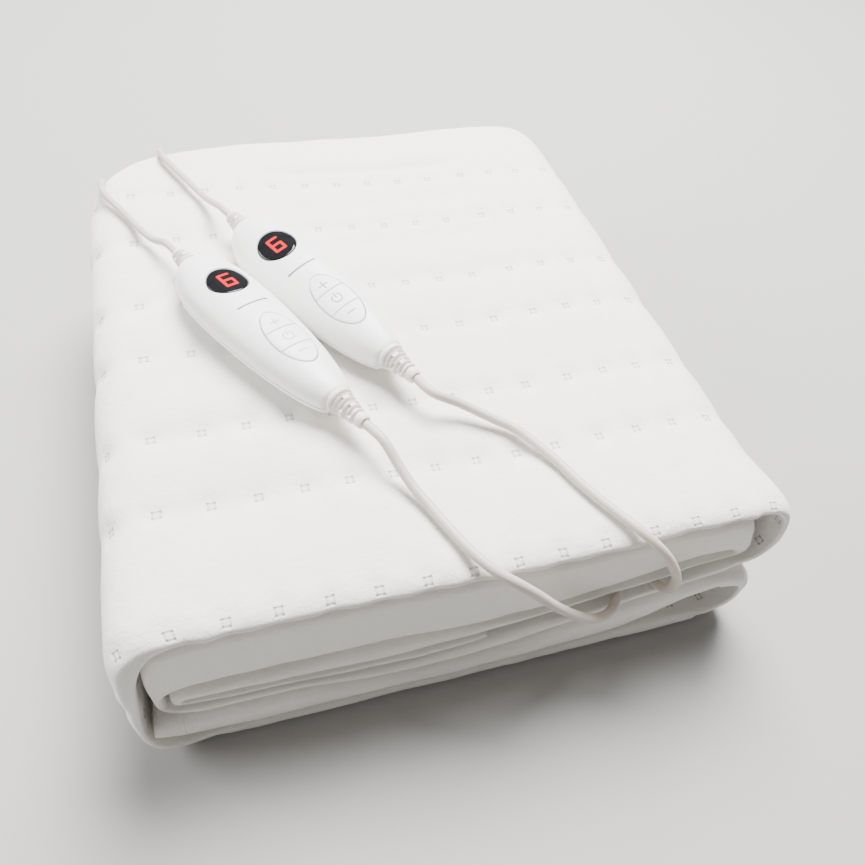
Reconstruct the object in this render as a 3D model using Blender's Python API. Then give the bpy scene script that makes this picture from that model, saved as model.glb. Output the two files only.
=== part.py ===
"""A folded electric heated blanket with its two hand controllers, leads and plugs.

The blanket is one solid: a quilted cloth folded back and forth, whose section across the stack
is carried from the front edge to the back edge. X runs along the front edge, +Y to the back,
+Z up. Tables are in millimetres. The finished stack is moved to have its middle over the origin.
"""
import math
from collections import namedtuple

import bmesh
import bpy
from mathutils import Matrix, Vector

MM = 0.001
CLEARANCE = 0.3             # between neighbouring solids

# ---- the folded cloth ----
LAYER_GAP = 1.0             # air between two layers of the cloth
SLIT = 0.8                  # air inside the tongue's own fold
# The stack is this share higher inside than at its front edge, towards each of its corners.
FRONT_LEFT_RISE = 0.03
FRONT_RIGHT_RISE = 0.05
BACK_LEFT_RISE = 0.08
BACK_RIGHT_RISE = 0.005
RISE_START_Y = -182.0
RISE_LENGTH = 45.0
HALF_SPAN = 160.0
# How far the two sides stray from straight: the left leans out to the back, the right bows in.
LEFT_LEAN = 5.0
RIGHT_BOW = 6.0
EDGE_RADIUS = 8.0           # largest rounding of a layer's front and back edge
EDGE_TURNS = (0.0, 45.0, 78.0)
BACK_Y = 177.0
BACK_BOW = 0.0004           # the back edge curves forward away from BACK_BOW_X
BACK_BOW_X = 90.0
BACK_LEFT_CORNER = (-108.0, 0.011)
BACK_RIGHT_CORNER = (130.0, 0.02)
SEAM_LINES_Y = (-160.0, -147.8, -99.3, -51.9, -5.3, 42.5, 93.6)

# Heights of the layers at the front edge, from the floor up, at places across the stack.
Heights = namedtuple("Heights", "x floor recess base back slit tongue block cover")
HEIGHTS = (
    Heights(-120.0, 6.0, 7.0, 28.0, 33.0, 37.0, 46.0, 90.0, 98.0),
    Heights(-90.0, 6.0, 7.0, 29.0, 33.0, 36.5, 46.5, 91.0, 99.0),
    Heights(-60.0, 6.0, 7.0, 23.5, 28.5, 32.5, 46.5, 91.0, 99.0),
    Heights(-30.0, 6.0, 7.0, 19.0, 25.5, 30.5, 45.0, 90.0, 98.0),
    Heights(0.0, 6.0, 7.0, 20.0, 29.5, 34.0, 42.5, 89.0, 97.0),
    Heights(30.0, 6.5, 8.0, 24.0, 36.0, 42.0, 44.5, 88.5, 96.5),
    Heights(60.0, 7.5, 10.0, 35.5, 39.6, 45.6, 48.0, 89.5, 97.5),
    Heights(90.0, 9.0, 16.0, 41.5, 46.0, 52.0, 54.4, 91.5, 99.5),
    Heights(115.0, 9.0, 30.0, 47.5, 52.5, 58.5, 61.0, 93.0, 100.5),
    Heights(135.0, 8.0, 38.5, 50.0, 57.5, 63.0, 65.5, 92.5, 99.5),
)
TONGUE_END_X = 8.0          # where the tongue's lower leaf stops inside the stack
BLOCK_END_X = 118.0         # where the square end of the block starts to turn
HEM_X = (-141.0, -149.3, -152.5)
HEM_LOW = (8.4, 12.6, 17.5)
HEM_HIGH = (27.0, 26.5, 24.5)

# How far forward each layer reaches, as the Y of its front edge.
FRONT_Y = {"tongue_low": -182.5, "tongue_high": -182.0, "block": -181.0, "back": -185.0,
           "cover": -180.5, "floor": -187.3, "base": -188.0}
WALL_BULGE = 4.5            # the lower part of the left wall reaches forward this much more

# The turns between layers. Reaches are X, shear leans the turn, nose moves its furthest point up
# or down by a share of its half height, and a higher squareness gives a fuller turn.
Turn = namedtuple("Turn", "start reach_out reach_in shear_out shear_in nose squareness steps")
TONGUE_TURN = Turn(-120.0, -136.5, -142.4, 0.0, 0.0, -0.2, 3.5, 5)
BLOCK_TURN = Turn(BLOCK_END_X, 145.0, 136.0, -0.42, -0.3, 0.0, 5.0, 5)
LEFT_TURN = Turn(-120.0, -149.3, -144.4, 0.0, 0.0, -0.2, 3.5, 8)
UPPER_RIGHT_TURN = Turn(135.0, 163.5, 156.5, 0.0, 0.0, -0.1, 2.7, 6)
LEFT_WALL_TURN = Turn(-120.0, -162.5, -153.5, 0.0, 0.12, 0.0, 3.8, 9)
LOWER_RIGHT_TURN = Turn(135.0, 161.0, 153.5, 0.0, 0.0, 0.0, 2.5, 6)

# Weld spots that hold the layers of the cloth together.
SPOT_COLUMN_PITCH = 21.0
SPOT_COLUMN_X = 124.0       # the column furthest right on the flat top
SPOT_WIDE_GAP = 3.4         # the extra width of the one wider gap, after the third column
SPOT_COLUMNS = 13
SPOT_ROWS_Y = (117.0, 70.1, 15.0, -25.5, -78.2, -120.4, -171.5)
SPOT_HALF = 4.0
SPOT_DEPTH = 2.2

# ---- the hand controllers ----
BODY_LENGTH = 126.4
BODY_WIDTH = 40.5
CROWN = 15.7                # height of the upper shell over the seam
KEEL = 8.0                  # depth of the lower shell under the seam
SEAM_GAP = 0.4
BODY_SIDES = 14             # faces round each shell
# Share of the length from the mains end, share of the half width, share of the height.
Station = namedtuple("Station", "along wide high")
BODY_STATIONS = (
    Station(0.0, 0.33, 0.50), Station(0.02, 0.48, 0.64), Station(0.06, 0.68, 0.80),
    Station(0.12, 0.84, 0.92), Station(0.20, 0.95, 0.98), Station(0.30, 1.0, 1.0),
    Station(0.42, 1.0, 1.0), Station(0.55, 0.96, 0.98), Station(0.68, 0.89, 0.94),
    Station(0.80, 0.79, 0.87), Station(0.90, 0.66, 0.78), Station(0.96, 0.54, 0.69),
    Station(1.0, 0.43, 0.60),
)
CROSS_SQUARENESS = 2.3
WINDOW_ALONG = -26.9        # the display's middle, from the middle of the body
WINDOW_RADIUS = 10.6
WINDOW_DEPTH = 1.6
PAD_ALONG = 24.8            # the middle of the oval of keys
PAD_LENGTH = 38.5
PAD_WIDTH = 18.5
KEY_GAP = 0.4
KEY_THICK = 2.2
KEY_PROUD = 0.45
KEY_TRAVEL = 0.8
POCKET_SLACK = 0.5          # room under a key that is pressed home
KEY_SPLITS = (-6.5, 6.5)    # where the oval is divided into its three keys
OUTLINE_STEPS = 7
SPLIT_SHARES = (0.25, 0.5, 0.75)

# Where each controller lies: the middle of its body, its turn from +X, its pitch and its roll.
Lie = namedtuple("Lie", "name x y z turn pitch roll")
LIES = (
    Lie("a", -77.0, -27.2, 112.6, -61.9, -0.2, -6.7),
    Lie("b", -44.4, -1.2, 113.5, -62.2, 1.6, 12.3),
)

# ---- strain reliefs, turned: distance from the housing and radius ----
RELIEF_AXIS_Z = 3.2         # over the seam
RELIEF_SIDES = 12
LARGE_RELIEF = {"length": 20.0, "root": 7.3, "tip": 4.1, "ribs": 5, "groove": 1.2}
SMALL_RELIEF = {"length": 11.0, "root": 5.9, "tip": 4.3, "ribs": 2, "groove": 1.0}

# ---- leads ----
BLANKET_LEAD = 4.8
MAINS_LEAD = 4.0
POINT_SPACING = 2.8         # in diameters
LEAD_SIDES = 2              # the curve's bevel resolution
STRAIGHT_START = 12.0       # a lead leaves its strain relief straight for this far
# The blanket leads, from the controllers over the front edge and into the pocket of the fold.
BLANKET_ROUTES = {
    "a": ((-26.6, -123.5, 110.6), (-22.2, -134.5, 107), (-17.2, -145, 105.2),
          (-11.7, -158, 104.8), (-6, -170.5, 104.8), (1.5, -181.5, 103.8), (11.0, -187.5, 99.0),
          (20.5, -190.5, 90.5), (30.5, -192.3, 79.0), (42.9, -193.0, 65.5), (54.0, -193.0, 55.5),
          (63.6, -191.5, 50.3), (71.0, -188.0, 48.2), (76.0, -182.0, 48.4), (79.0, -174.0, 49.0),
          (80.0, -155.0, 49.6), (80.0, -130.0, 49.8), (76.0, -104.0, 48.9)),
    "b": ((13, -92.5, 109.6), (27, -102.5, 106.4), (38, -112, 105),
          (49.0, -131.5, 104.6), (55.5, -146.8, 104.7), (61.0, -158.0, 105.0), (66.5, -168.0, 105.3),
          (74.0, -180.5, 105.0), (82.0, -188.0, 98.5), (89.0, -190.8, 88.0), (94.5, -191.5, 77.0),
          (97.0, -191.0, 68.0), (98.0, -189.5, 61.0), (97.0, -186.5, 56.0), (96.0, -181.0, 53.3),
          (95.3, -174.0, 53.0), (95.0, -163.0, 53.2), (95.0, -140.0, 53.8), (92.0, -115.0, 52.8)),
}
# The mains leads, over the back of the stack and down to the floor behind it.
MAINS_ROUTES = {
    "a": ((-124.5, 60, 111.2), (-131.3, 73, 109.2), (-141.3, 94.5, 108.2),
          (-149.5, 111, 107.6), (-152.5, 121, 107), (-153.2, 130, 105.6), (-152.4, 138, 101),
          (-150.6, 143.5, 93), (-149, 147, 82), (-147, 150, 64), (-145, 154, 43),
          (-142, 161, 21), (-139, 171, 7.5), (-136, 183, 2.6), (-134, 194, 2.2)),
    "b": ((-92.5, 96, 111.8), (-103, 122, 109.4), (-111.5, 141, 108.9), (-114.8, 149, 109.4),
          (-116.2, 156, 108.6), (-116.7, 162, 105.4), (-116.5, 166, 100.2), (-115.6, 168.2, 93),
          (-113.8, 169.6, 84), (-110.5, 170.8, 72), (-105, 172, 54.0), (-95, 177, 31.0), (-82, 182, 13.0), (-66, 186, 3.8),
          (-50, 187, 2.2), (-32, 187, 2.2), (-12, 187, 2.2), (6, 191, 2.2)),
}
# Neat coils behind the stack, wound clockwise. A lead comes in and leaves along the outer turn.
Coil = namedtuple("Coil", "x y")
COILS = {"a": Coil(-104.0, 236.0), "b": Coil(48.0, 222.0)}
COIL_INLET = 180.0          # degrees round the coil
COIL_OUTLET = 90.0
COIL_RADIUS = 24.0          # to the middle of the turns
COIL_WIDE = 3               # turns side by side
COIL_HIGH = 3               # turns on each other
COIL_FACES = 28
PLUG_LENGTH = 34.0
PLUG_WIDTH = 27.0
PLUG_HEIGHT = 21.0
PLUG_RELIEF_LENGTH = 22.0
PIN_LENGTH = 16.0
PIN_WIDTH = 6.3
PIN_THICK = 1.6
# Sideways and upwards places of the pins on the plug's face, and their turn.
PINS = {"live": (-7.0, 3.0, 30.0), "neutral": (7.0, 3.0, -30.0), "earth": (0.0, -5.5, 90.0)}


def material(name, colour, roughness, metallic=0.0):
    """A plain surface with one colour."""
    made = bpy.data.materials.new(name)
    made.use_nodes = True
    shader = made.node_tree.nodes["Principled BSDF"]
    shader.inputs["Base Color"].default_value = (*colour, 1.0)
    shader.inputs["Roughness"].default_value = roughness
    shader.inputs["Metallic"].default_value = metallic
    return made


def add_object(name, data, finish, smooth_angle=None):
    """Put a mesh or curve in the scene under its own name, with its own finish."""
    piece = bpy.data.objects.new(name, data)
    bpy.context.collection.objects.link(piece)
    data.materials.append(finish)
    if smooth_angle is not None:
        data.shade_smooth()
        data.set_sharp_from_angle(angle=math.radians(smooth_angle))
    return piece


def mesh_from(name, shape):
    """Close a bmesh off into a mesh with its faces outward."""
    bmesh.ops.recalc_face_normals(shape, faces=shape.faces)
    mesh = bpy.data.meshes.new(name)
    shape.to_mesh(mesh)
    shape.free()
    return mesh


def smooth_step(share):
    """A soft change from 0 to 1."""
    held = min(max(share, 0.0), 1.0)
    return held * held * (3.0 - 2.0 * held)


# ---------------------------------------------------------------- the folded cloth

Face = namedtuple("Face", "inner outer layer")


def layer_faces(layer, row):
    """The inner and outer heights of one layer at one place across the stack."""
    gap = LAYER_GAP
    inner_outer = {
        "tongue_low": (row.back + gap, row.slit - SLIT / 2),
        "tongue_high": (row.tongue, row.slit + SLIT / 2),
        "block": (row.tongue + gap, row.block),
        "back": (row.back, row.base + gap),
        "cover": (row.block + gap, row.cover),
        "floor": (row.floor, 0.0),
        "base": (row.recess, row.base),
    }
    return inner_outer[layer]


def run(layer, rows):
    """The places along one layer, as pairs of points on its two faces."""
    pairs = []
    for row in rows:
        inner, outer = layer_faces(layer, row)
        pairs.append(Face((row.x, inner), (row.x, outer), layer))
    return pairs


def turn_point(turn, reach, shear, high, low, share):
    """A point at a share of the way round a turn, from its upper end to its lower end."""
    angle = math.pi * (0.5 - share)
    power = 2.0 / turn.squareness
    out = abs(math.cos(angle)) ** power
    rise = math.copysign(abs(math.sin(angle)) ** power, math.sin(angle))
    middle, half = (high + low) / 2, (high - low) / 2
    x = turn.start + (reach - turn.start) * out
    z = middle + half * (rise + turn.nose * out * (1.0 - abs(rise)))
    return x + shear * (z - middle) * out, z


def fold(turn, upper, lower, upper_row, lower_row, going_down):
    """The places round a turn between two layers, in the order of travel."""
    up_inner, up_outer = layer_faces(upper, upper_row)
    low_inner, low_outer = layer_faces(lower, lower_row)
    pairs = []
    for step in range(1, turn.steps + 1):
        share = step / (turn.steps + 1)
        inner = turn_point(turn, turn.reach_in, turn.shear_in, up_inner, low_inner, share)
        outer = turn_point(turn, turn.reach_out, turn.shear_out, up_outer, low_outer, share)
        pairs.append((Face(inner, outer, (upper, lower)), share))
    if not going_down:
        pairs.reverse()
    return pairs


def between_rows(x):
    """A row of heights at any place across the stack."""
    for left, right in zip(HEIGHTS, HEIGHTS[1:]):
        if left.x <= x <= right.x:
            share = (x - left.x) / (right.x - left.x)
            return Heights(*(a + (b - a) * share for a, b in zip(left, right)))
    return HEIGHTS[0] if x < HEIGHTS[0].x else HEIGHTS[-1]


def back_of(x):
    """The Y of the stack's back edge, with its rounded corners."""
    y = BACK_Y - BACK_BOW * (x - BACK_BOW_X) ** 2
    corner, rate = BACK_LEFT_CORNER
    y -= rate * max(corner - x, 0.0) ** 2
    corner, rate = BACK_RIGHT_CORNER
    y -= rate * max(x - corner, 0.0) ** 2
    return y


def cloth_section():
    """The whole section, from the tongue's free end to the hem, as (Face, front Y) pairs."""
    rows = list(HEIGHTS)
    block_end = between_rows(BLOCK_END_X)
    first, last = rows[0], rows[-1]
    places = []

    def add_run(layer, these):
        for pair in run(layer, these):
            places.append((pair, FRONT_Y[layer]))

    def add_turn(turn, upper, lower, upper_row, lower_row, going_down):
        for pair, share in fold(turn, upper, lower, upper_row, lower_row, going_down):
            front = FRONT_Y[upper] * (1.0 - share) + FRONT_Y[lower] * share
            if turn is LEFT_WALL_TURN:
                front -= WALL_BULGE * math.sin(math.pi * share ** 2)
            places.append((pair, front))

    tongue_rows = [row for row in rows if row.x <= 0.0]
    add_run("tongue_low", [between_rows(TONGUE_END_X)] + tongue_rows[::-1])
    add_turn(TONGUE_TURN, "tongue_high", "tongue_low", first, first, False)
    block_rows = [row for row in rows if row.x < BLOCK_END_X]
    add_run("tongue_high", block_rows)
    add_turn(BLOCK_TURN, "block", "tongue_high", block_end, block_end, False)
    add_run("block", block_rows[::-1])
    add_turn(LEFT_TURN, "block", "back", first, first, True)
    add_run("back", rows)
    add_turn(UPPER_RIGHT_TURN, "cover", "back", last, last, False)
    add_run("cover", cover_rows()[::-1])
    add_turn(LEFT_WALL_TURN, "cover", "floor", first, first, True)
    add_run("floor", rows)
    add_turn(LOWER_RIGHT_TURN, "base", "floor", last, last, False)
    add_run("base", rows[::-1])
    for x, low, high in zip(HEM_X, HEM_LOW, HEM_HIGH):
        places.append((Face((x, low), (x, high), "base"), FRONT_Y["base"]))
    return places


def spot_columns():
    """The X of each column of weld spots, from right to left."""
    columns = []
    for number in range(SPOT_COLUMNS):
        wide = SPOT_WIDE_GAP if number > 2 else 0.0
        columns.append(SPOT_COLUMN_X - number * SPOT_COLUMN_PITCH - wide)
    return columns


def cover_rows():
    """Rows of heights for the top layer, one on each line between two columns of spots."""
    columns = spot_columns()
    lines = [(a + b) / 2 for a, b in zip(columns, columns[1:])]
    lines = [HEIGHTS[-1].x] + [x for x in lines if x > HEIGHTS[0].x] + [HEIGHTS[0].x]
    return [between_rows(x) for x in sorted(lines)]


def corner_shares(x, y):
    """How far to the right and to the back a place is, from 0 to 1."""
    return (min(max((x / HALF_SPAN + 1.0) / 2, 0.0), 1.0),
            min(max((y / HALF_SPAN + 1.0) / 2, 0.0), 1.0))


def inside_share(y):
    """How far a place is behind the front edge, from 0 to 1."""
    return smooth_step((y - RISE_START_Y) / RISE_LENGTH)


def aside(x, y):
    """How far a point of the straight stack has moved sideways."""
    right, back = corner_shares(x, y)
    return -LEFT_LEAN * back * (1.0 - right) ** 2 - RIGHT_BOW * inside_share(y) * right ** 2


def settled(x, y, z):
    """Where a point of the straight stack lies once the stack has settled unevenly."""
    right, back = corner_shares(x, y)
    front_rise = FRONT_LEFT_RISE + (FRONT_RIGHT_RISE - FRONT_LEFT_RISE) * right
    back_rise = BACK_LEFT_RISE + (BACK_RIGHT_RISE - BACK_LEFT_RISE) * right
    rise = front_rise + (back_rise - front_rise) * back
    return Vector((x + aside(x, y), y, z * (1.0 + rise)))


def depth_stations(pair, front):
    """(Y, share of the thickness) from the front edge to the back edge at one place."""
    dx = pair.outer[0] - pair.inner[0]
    dz = pair.outer[1] - pair.inner[1]
    half = math.hypot(dx, dz) / 2
    radius = min(half, EDGE_RADIUS)
    back = back_of(pair.outer[0])
    turned = [(1.0 - math.sin(math.radians(a)), 1.0 - math.cos(math.radians(a))) for a in EDGE_TURNS]
    stations = [(front + radius * y, 1.0 - radius / half * cut) for y, cut in reversed(turned)]
    stations += [(y, 1.0) for y in SEAM_LINES_Y]
    stations += [(back - radius * y, 1.0 - radius / half * cut) for y, cut in turned]
    return stations


def make_blanket(finish):
    """The folded blanket as one closed solid."""
    shape = bmesh.new()
    inner, outer = [], []
    section = cloth_section()
    for pair, front in section:
        column_in, column_out = [], []
        middle = Vector(((pair.inner[0] + pair.outer[0]) / 2, 0.0, (pair.inner[1] + pair.outer[1]) / 2))
        for y, share in depth_stations(pair, front):
            for point, column in ((pair.inner, column_in), (pair.outer, column_out)):
                place = middle.lerp(Vector((point[0], 0.0, point[1])), share)
                column.append(shape.verts.new((place.x, y, place.z)))
        inner.append(column_in)
        outer.append(column_out)
    depth = len(inner[0])
    top_faces = []
    for i in range(len(section) - 1):
        on_top = section[i][0].layer == "cover" and section[i + 1][0].layer == "cover"
        for j in range(depth - 1):
            shape.faces.new((inner[i][j], inner[i + 1][j], inner[i + 1][j + 1], inner[i][j + 1]))
            face = shape.faces.new(
                (outer[i][j], outer[i][j + 1], outer[i + 1][j + 1], outer[i + 1][j]))
            if on_top:
                top_faces.append(face)
        for j in (0, depth - 1):
            shape.faces.new((inner[i][j], outer[i][j], outer[i + 1][j], inner[i + 1][j]))
    for i in (0, len(section) - 1):
        for j in range(depth - 1):
            shape.faces.new((inner[i][j], inner[i][j + 1], outer[i][j + 1], outer[i][j]))
    press_spots(shape, top_faces)
    for vert in shape.verts:
        vert.co = settled(*vert.co) * MM
    return add_object("blanket", mesh_from("blanket", shape), finish, smooth_angle=50.0)


def press_spots(shape, faces):
    """Sink a small square dent at each weld spot of the top layer."""
    for column in spot_columns():
        for y in SPOT_ROWS_Y:
            x = column - aside(column, y)
            for face in faces:
                xs = [vert.co.x for vert in face.verts]
                ys = [vert.co.y for vert in face.verts]
                if min(xs) < x - SPOT_HALF and max(xs) > x + SPOT_HALF and min(ys) < y < max(ys):
                    press_one(shape, face, x, y)
                    faces.remove(face)
                    break


def press_one(shape, face, x, y):
    """Sink one dent in one face of the top layer."""
    corners = sorted((vert.co.copy() for vert in face.verts), key=lambda point: point.x)
    sides = [sorted(pair, key=lambda point: point.y) for pair in (corners[:2], corners[2:])]

    def height(px, py):
        ends = []
        for near, far in sides:
            share = (py - near.y) / (far.y - near.y)
            ends.append((near.x, near.z + (far.z - near.z) * share))
        share = (px - ends[0][0]) / (ends[1][0] - ends[0][0])
        return ends[0][1] + (ends[1][1] - ends[0][1]) * share

    bmesh.ops.inset_individual(shape, faces=[face], thickness=SPOT_HALF / 2)
    middle = face.calc_center_median()
    for vert in face.verts:
        px = x + math.copysign(SPOT_HALF, vert.co.x - middle.x)
        py = y + math.copysign(SPOT_HALF, vert.co.y - middle.y)
        vert.co = Vector((px, py, height(px, py)))
    centre = bmesh.ops.poke(shape, faces=[face])["verts"][0]
    centre.co = Vector((x, y, height(x, y) - SPOT_DEPTH))


# ---------------------------------------------------------------- the hand controllers


def body_size(along):
    """The half width and crown of the body at a distance from its middle."""
    share = along / BODY_LENGTH + 0.5
    for near, far in zip(BODY_STATIONS, BODY_STATIONS[1:]):
        if near.along <= share <= far.along:
            part = (share - near.along) / (far.along - near.along)
            wide = near.wide + (far.wide - near.wide) * part
            high = near.high + (far.high - near.high) * part
            return wide * BODY_WIDTH / 2, high * CROWN
    raise ValueError("outside the body")


def crown_height(along, across):
    """The height of the upper shell's face over the seam."""
    half, high = body_size(along)
    share = min(abs(across) / half, 1.0)
    return high * (1.0 - share ** CROSS_SQUARENESS) ** (1.0 / CROSS_SQUARENESS)


def half_shell(name, sign):
    """One closed half of the body, over the seam for sign 1 and under it for -1."""
    shape = bmesh.new()
    rings = []
    depth = CROWN if sign > 0 else KEEL
    power = 2.0 / CROSS_SQUARENESS
    for station in BODY_STATIONS:
        along = (station.along - 0.5) * BODY_LENGTH
        ring = []
        for step in range(BODY_SIDES + 1):
            angle = math.pi * step / BODY_SIDES
            cosine, sine = math.cos(angle), math.sin(angle)
            across = math.copysign(abs(cosine) ** power, cosine) * station.wide * BODY_WIDTH / 2
            up = sine ** power * station.high * depth if 0 < step < BODY_SIDES else 0.0
            ring.append(shape.verts.new(Vector((along, across, sign * (up + SEAM_GAP / 2))) * MM))
        rings.append(ring)
    for near, far in zip(rings, rings[1:]):
        for a in range(BODY_SIDES + 1):
            b = (a + 1) % (BODY_SIDES + 1)
            shape.faces.new((near[a], near[b], far[b], far[a]))
    shape.faces.new(rings[0])
    shape.faces.new(rings[-1])
    return mesh_from(name, shape)


def oval_outline(length, width, low, high, steps):
    """The outline of the stretch of an oval between two places along it, shrunk by the gap."""
    half_length, half_width = length / 2, width / 2
    low, high = max(low, -half_length), min(high, half_length)
    upper = []
    for step in range(steps + 1):
        share = 0.5 - 0.5 * math.cos(math.pi * step / steps)
        along = low + (high - low) * share
        upper.append((along, half_width * math.sqrt(max(1.0 - (along / half_length) ** 2, 0.0))))
    lower = [(along, -across) for along, across in reversed(upper)]
    outline = []
    for side in (upper, lower):
        (x1, y1), (x2, y2) = side[-1], (lower if side is upper else upper)[0]
        outline += side
        if abs(y2 - y1) > 0.01:
            outline += [(x1, y1 + (y2 - y1) * share) for share in SPLIT_SHARES]
        else:
            outline.pop()
    return outline


def plate(name, outline, top, bottom):
    """A closed plate on an outline, with its faces on two height functions."""
    shape = bmesh.new()
    middle = (sum(p[0] for p in outline) / len(outline), 0.0)
    rims = []
    for height in (top, bottom):
        rim = [shape.verts.new(Vector((x, y, height(x, y))) * MM) for x, y in outline]
        centre = shape.verts.new(Vector((*middle, height(*middle))) * MM)
        for a, b in zip(rim, rim[1:] + rim[:1]):
            shape.faces.new((centre, a, b))
        rims.append(rim)
    upper, lower = rims
    count = len(outline)
    for i in range(count):
        k = (i + 1) % count
        shape.faces.new((upper[i], upper[k], lower[k], lower[i]))
    return mesh_from(name, shape)


def turned(name, profile, sides):
    """A closed solid turned round X from (distance, radius) points."""
    shape = bmesh.new()
    rings = []
    for along, radius in profile:
        ring = []
        for step in range(sides):
            angle = 2 * math.pi * step / sides
            ring.append(shape.verts.new(
                Vector((along, radius * math.cos(angle), radius * math.sin(angle))) * MM))
        rings.append(ring)
    for near, far in zip(rings, rings[1:]):
        for a in range(sides):
            b = (a + 1) % sides
            shape.faces.new((near[a], near[b], far[b], far[a]))
    shape.faces.new(rings[0])
    shape.faces.new(rings[-1])
    return mesh_from(name, shape)


def relief_profile(size):
    """The ribbed taper of a strain relief, from its root to its tip."""
    ribs = size["ribs"]
    collar = size["length"] * 0.12
    ribbed = size["length"] * 0.66
    pitch = ribbed / ribs
    profile = [(0.0, size["root"]), (collar, size["root"])]
    for rib in range(ribs):
        start = collar + rib * pitch
        radius = size["root"] + (size["tip"] - size["root"]) * (start + pitch) / size["length"]
        profile.append((start + pitch * 0.12, radius - size["groove"]))
        profile.append((start + pitch * 0.42, radius - size["groove"]))
        profile.append((start + pitch * 0.54, radius))
        profile.append((start + pitch * 0.96, radius))
    profile.append((collar + ribbed + pitch * 0.1, size["tip"] - 0.1))
    profile.append((size["length"], size["tip"] - 0.5))
    return profile


def cutter(name, mesh, owner):
    """A guide that is cut out of its owner and isn't part of the object."""
    tool = bpy.data.objects.new(name, mesh)
    bpy.context.collection.objects.link(tool)
    tool.parent = owner.parent
    tool.hide_render = True
    tool.display_type = "WIRE"
    cut = owner.modifiers.new(name, "BOOLEAN")
    cut.operation = "DIFFERENCE"
    cut.object = tool
    return tool


def ellipse(length, width, middle, count):
    """Points round an ellipse on the body's axis."""
    points = []
    for step in range(count):
        angle = 2 * math.pi * step / count
        points.append((middle + length / 2 * math.cos(angle), width / 2 * math.sin(angle)))
    return points


def make_controller(lie, finishes):
    """One hand controller with its window, keys and strain reliefs."""
    name = lie.name
    holder = bpy.data.objects.new("controller_" + name, None)
    bpy.context.collection.objects.link(holder)
    turn = Matrix.Rotation(math.radians(lie.turn), 4, "Z")
    pitch = Matrix.Rotation(math.radians(lie.pitch), 4, "Y")
    roll = Matrix.Rotation(math.radians(lie.roll), 4, "X")
    place = Matrix.Translation(Vector((lie.x, lie.y, lie.z)) * MM)
    holder.matrix_world = place @ turn @ pitch @ roll

    def fitted(part_name, mesh, finish, shift=(0.0, 0.0, 0.0), half_turn=False, angle=40.0):
        piece = add_object(part_name + "_" + name, mesh, finish, smooth_angle=angle)
        piece.parent = holder
        piece.location = Vector(shift) * MM
        if half_turn:
            piece.rotation_euler = (0.0, 0.0, math.pi)
        return piece

    upper = fitted("upper_shell", half_shell("upper_shell_" + name, 1), finishes["shell"])
    fitted("lower_shell", half_shell("lower_shell_" + name, -1), finishes["shell"])

    window = ellipse(2 * WINDOW_RADIUS, 2 * WINDOW_RADIUS, WINDOW_ALONG, 24)
    wide = ellipse(2 * (WINDOW_RADIUS + CLEARANCE), 2 * (WINDOW_RADIUS + CLEARANCE), WINDOW_ALONG, 24)
    cutter("window_pocket_" + name, plate(
        "window_pocket_" + name, wide,
        lambda x, y: CROWN + 5.0,
        lambda x, y: crown_height(x, y) - WINDOW_DEPTH - CLEARANCE), upper)
    fitted("window", plate(
        "window_" + name, window,
        lambda x, y: crown_height(x, y) + 0.1,
        lambda x, y: crown_height(x, y) - WINDOW_DEPTH), finishes["window"])

    pocket_floor = KEY_THICK - KEY_PROUD + KEY_TRAVEL + POCKET_SLACK
    cutter("key_pocket_" + name, plate(
        "key_pocket_" + name,
        ellipse(PAD_LENGTH + 2 * KEY_GAP, PAD_WIDTH + 2 * KEY_GAP, PAD_ALONG, 32),
        lambda x, y: CROWN + 5.0,
        lambda x, y: crown_height(x, y) - pocket_floor), upper)
    low_split, high_split = KEY_SPLITS
    spans = {"key_plus": (-PAD_LENGTH, low_split - KEY_GAP / 2),
             "key_power": (low_split + KEY_GAP / 2, high_split - KEY_GAP / 2),
             "key_minus": (high_split + KEY_GAP / 2, PAD_LENGTH)}
    for key, (low, high) in spans.items():
        outline = oval_outline(PAD_LENGTH, PAD_WIDTH, low, high, OUTLINE_STEPS)
        fitted(key, plate(
            key + "_" + name, outline,
            lambda x, y: crown_height(x + PAD_ALONG, y) + KEY_PROUD,
            lambda x, y: crown_height(x + PAD_ALONG, y) + KEY_PROUD - KEY_THICK),
            finishes["key"], shift=(PAD_ALONG, 0.0, 0.0))

    end = BODY_LENGTH / 2 + CLEARANCE
    fitted("blanket_relief", turned("blanket_relief_" + name, relief_profile(LARGE_RELIEF), RELIEF_SIDES),
           finishes["relief"], shift=(end, 0.0, RELIEF_AXIS_Z), angle=35.0)
    fitted("mains_relief", turned("mains_relief_" + name, relief_profile(SMALL_RELIEF), RELIEF_SIDES),
           finishes["relief"], shift=(-end, 0.0, RELIEF_AXIS_Z), half_turn=True, angle=35.0)
    return holder.matrix_world.copy()


def relief_tip(placed, side, size):
    """Where a lead leaves its strain relief, and the end of its straight start."""
    start = BODY_LENGTH / 2 + CLEARANCE + size["length"] + 2 * CLEARANCE
    ends = []
    for along in (start, start + STRAIGHT_START):
        ends.append(placed @ (Vector((side * along, 0.0, RELIEF_AXIS_Z)) * MM) / MM)
    return ends


# ---------------------------------------------------------------- leads, coils and plugs


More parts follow.
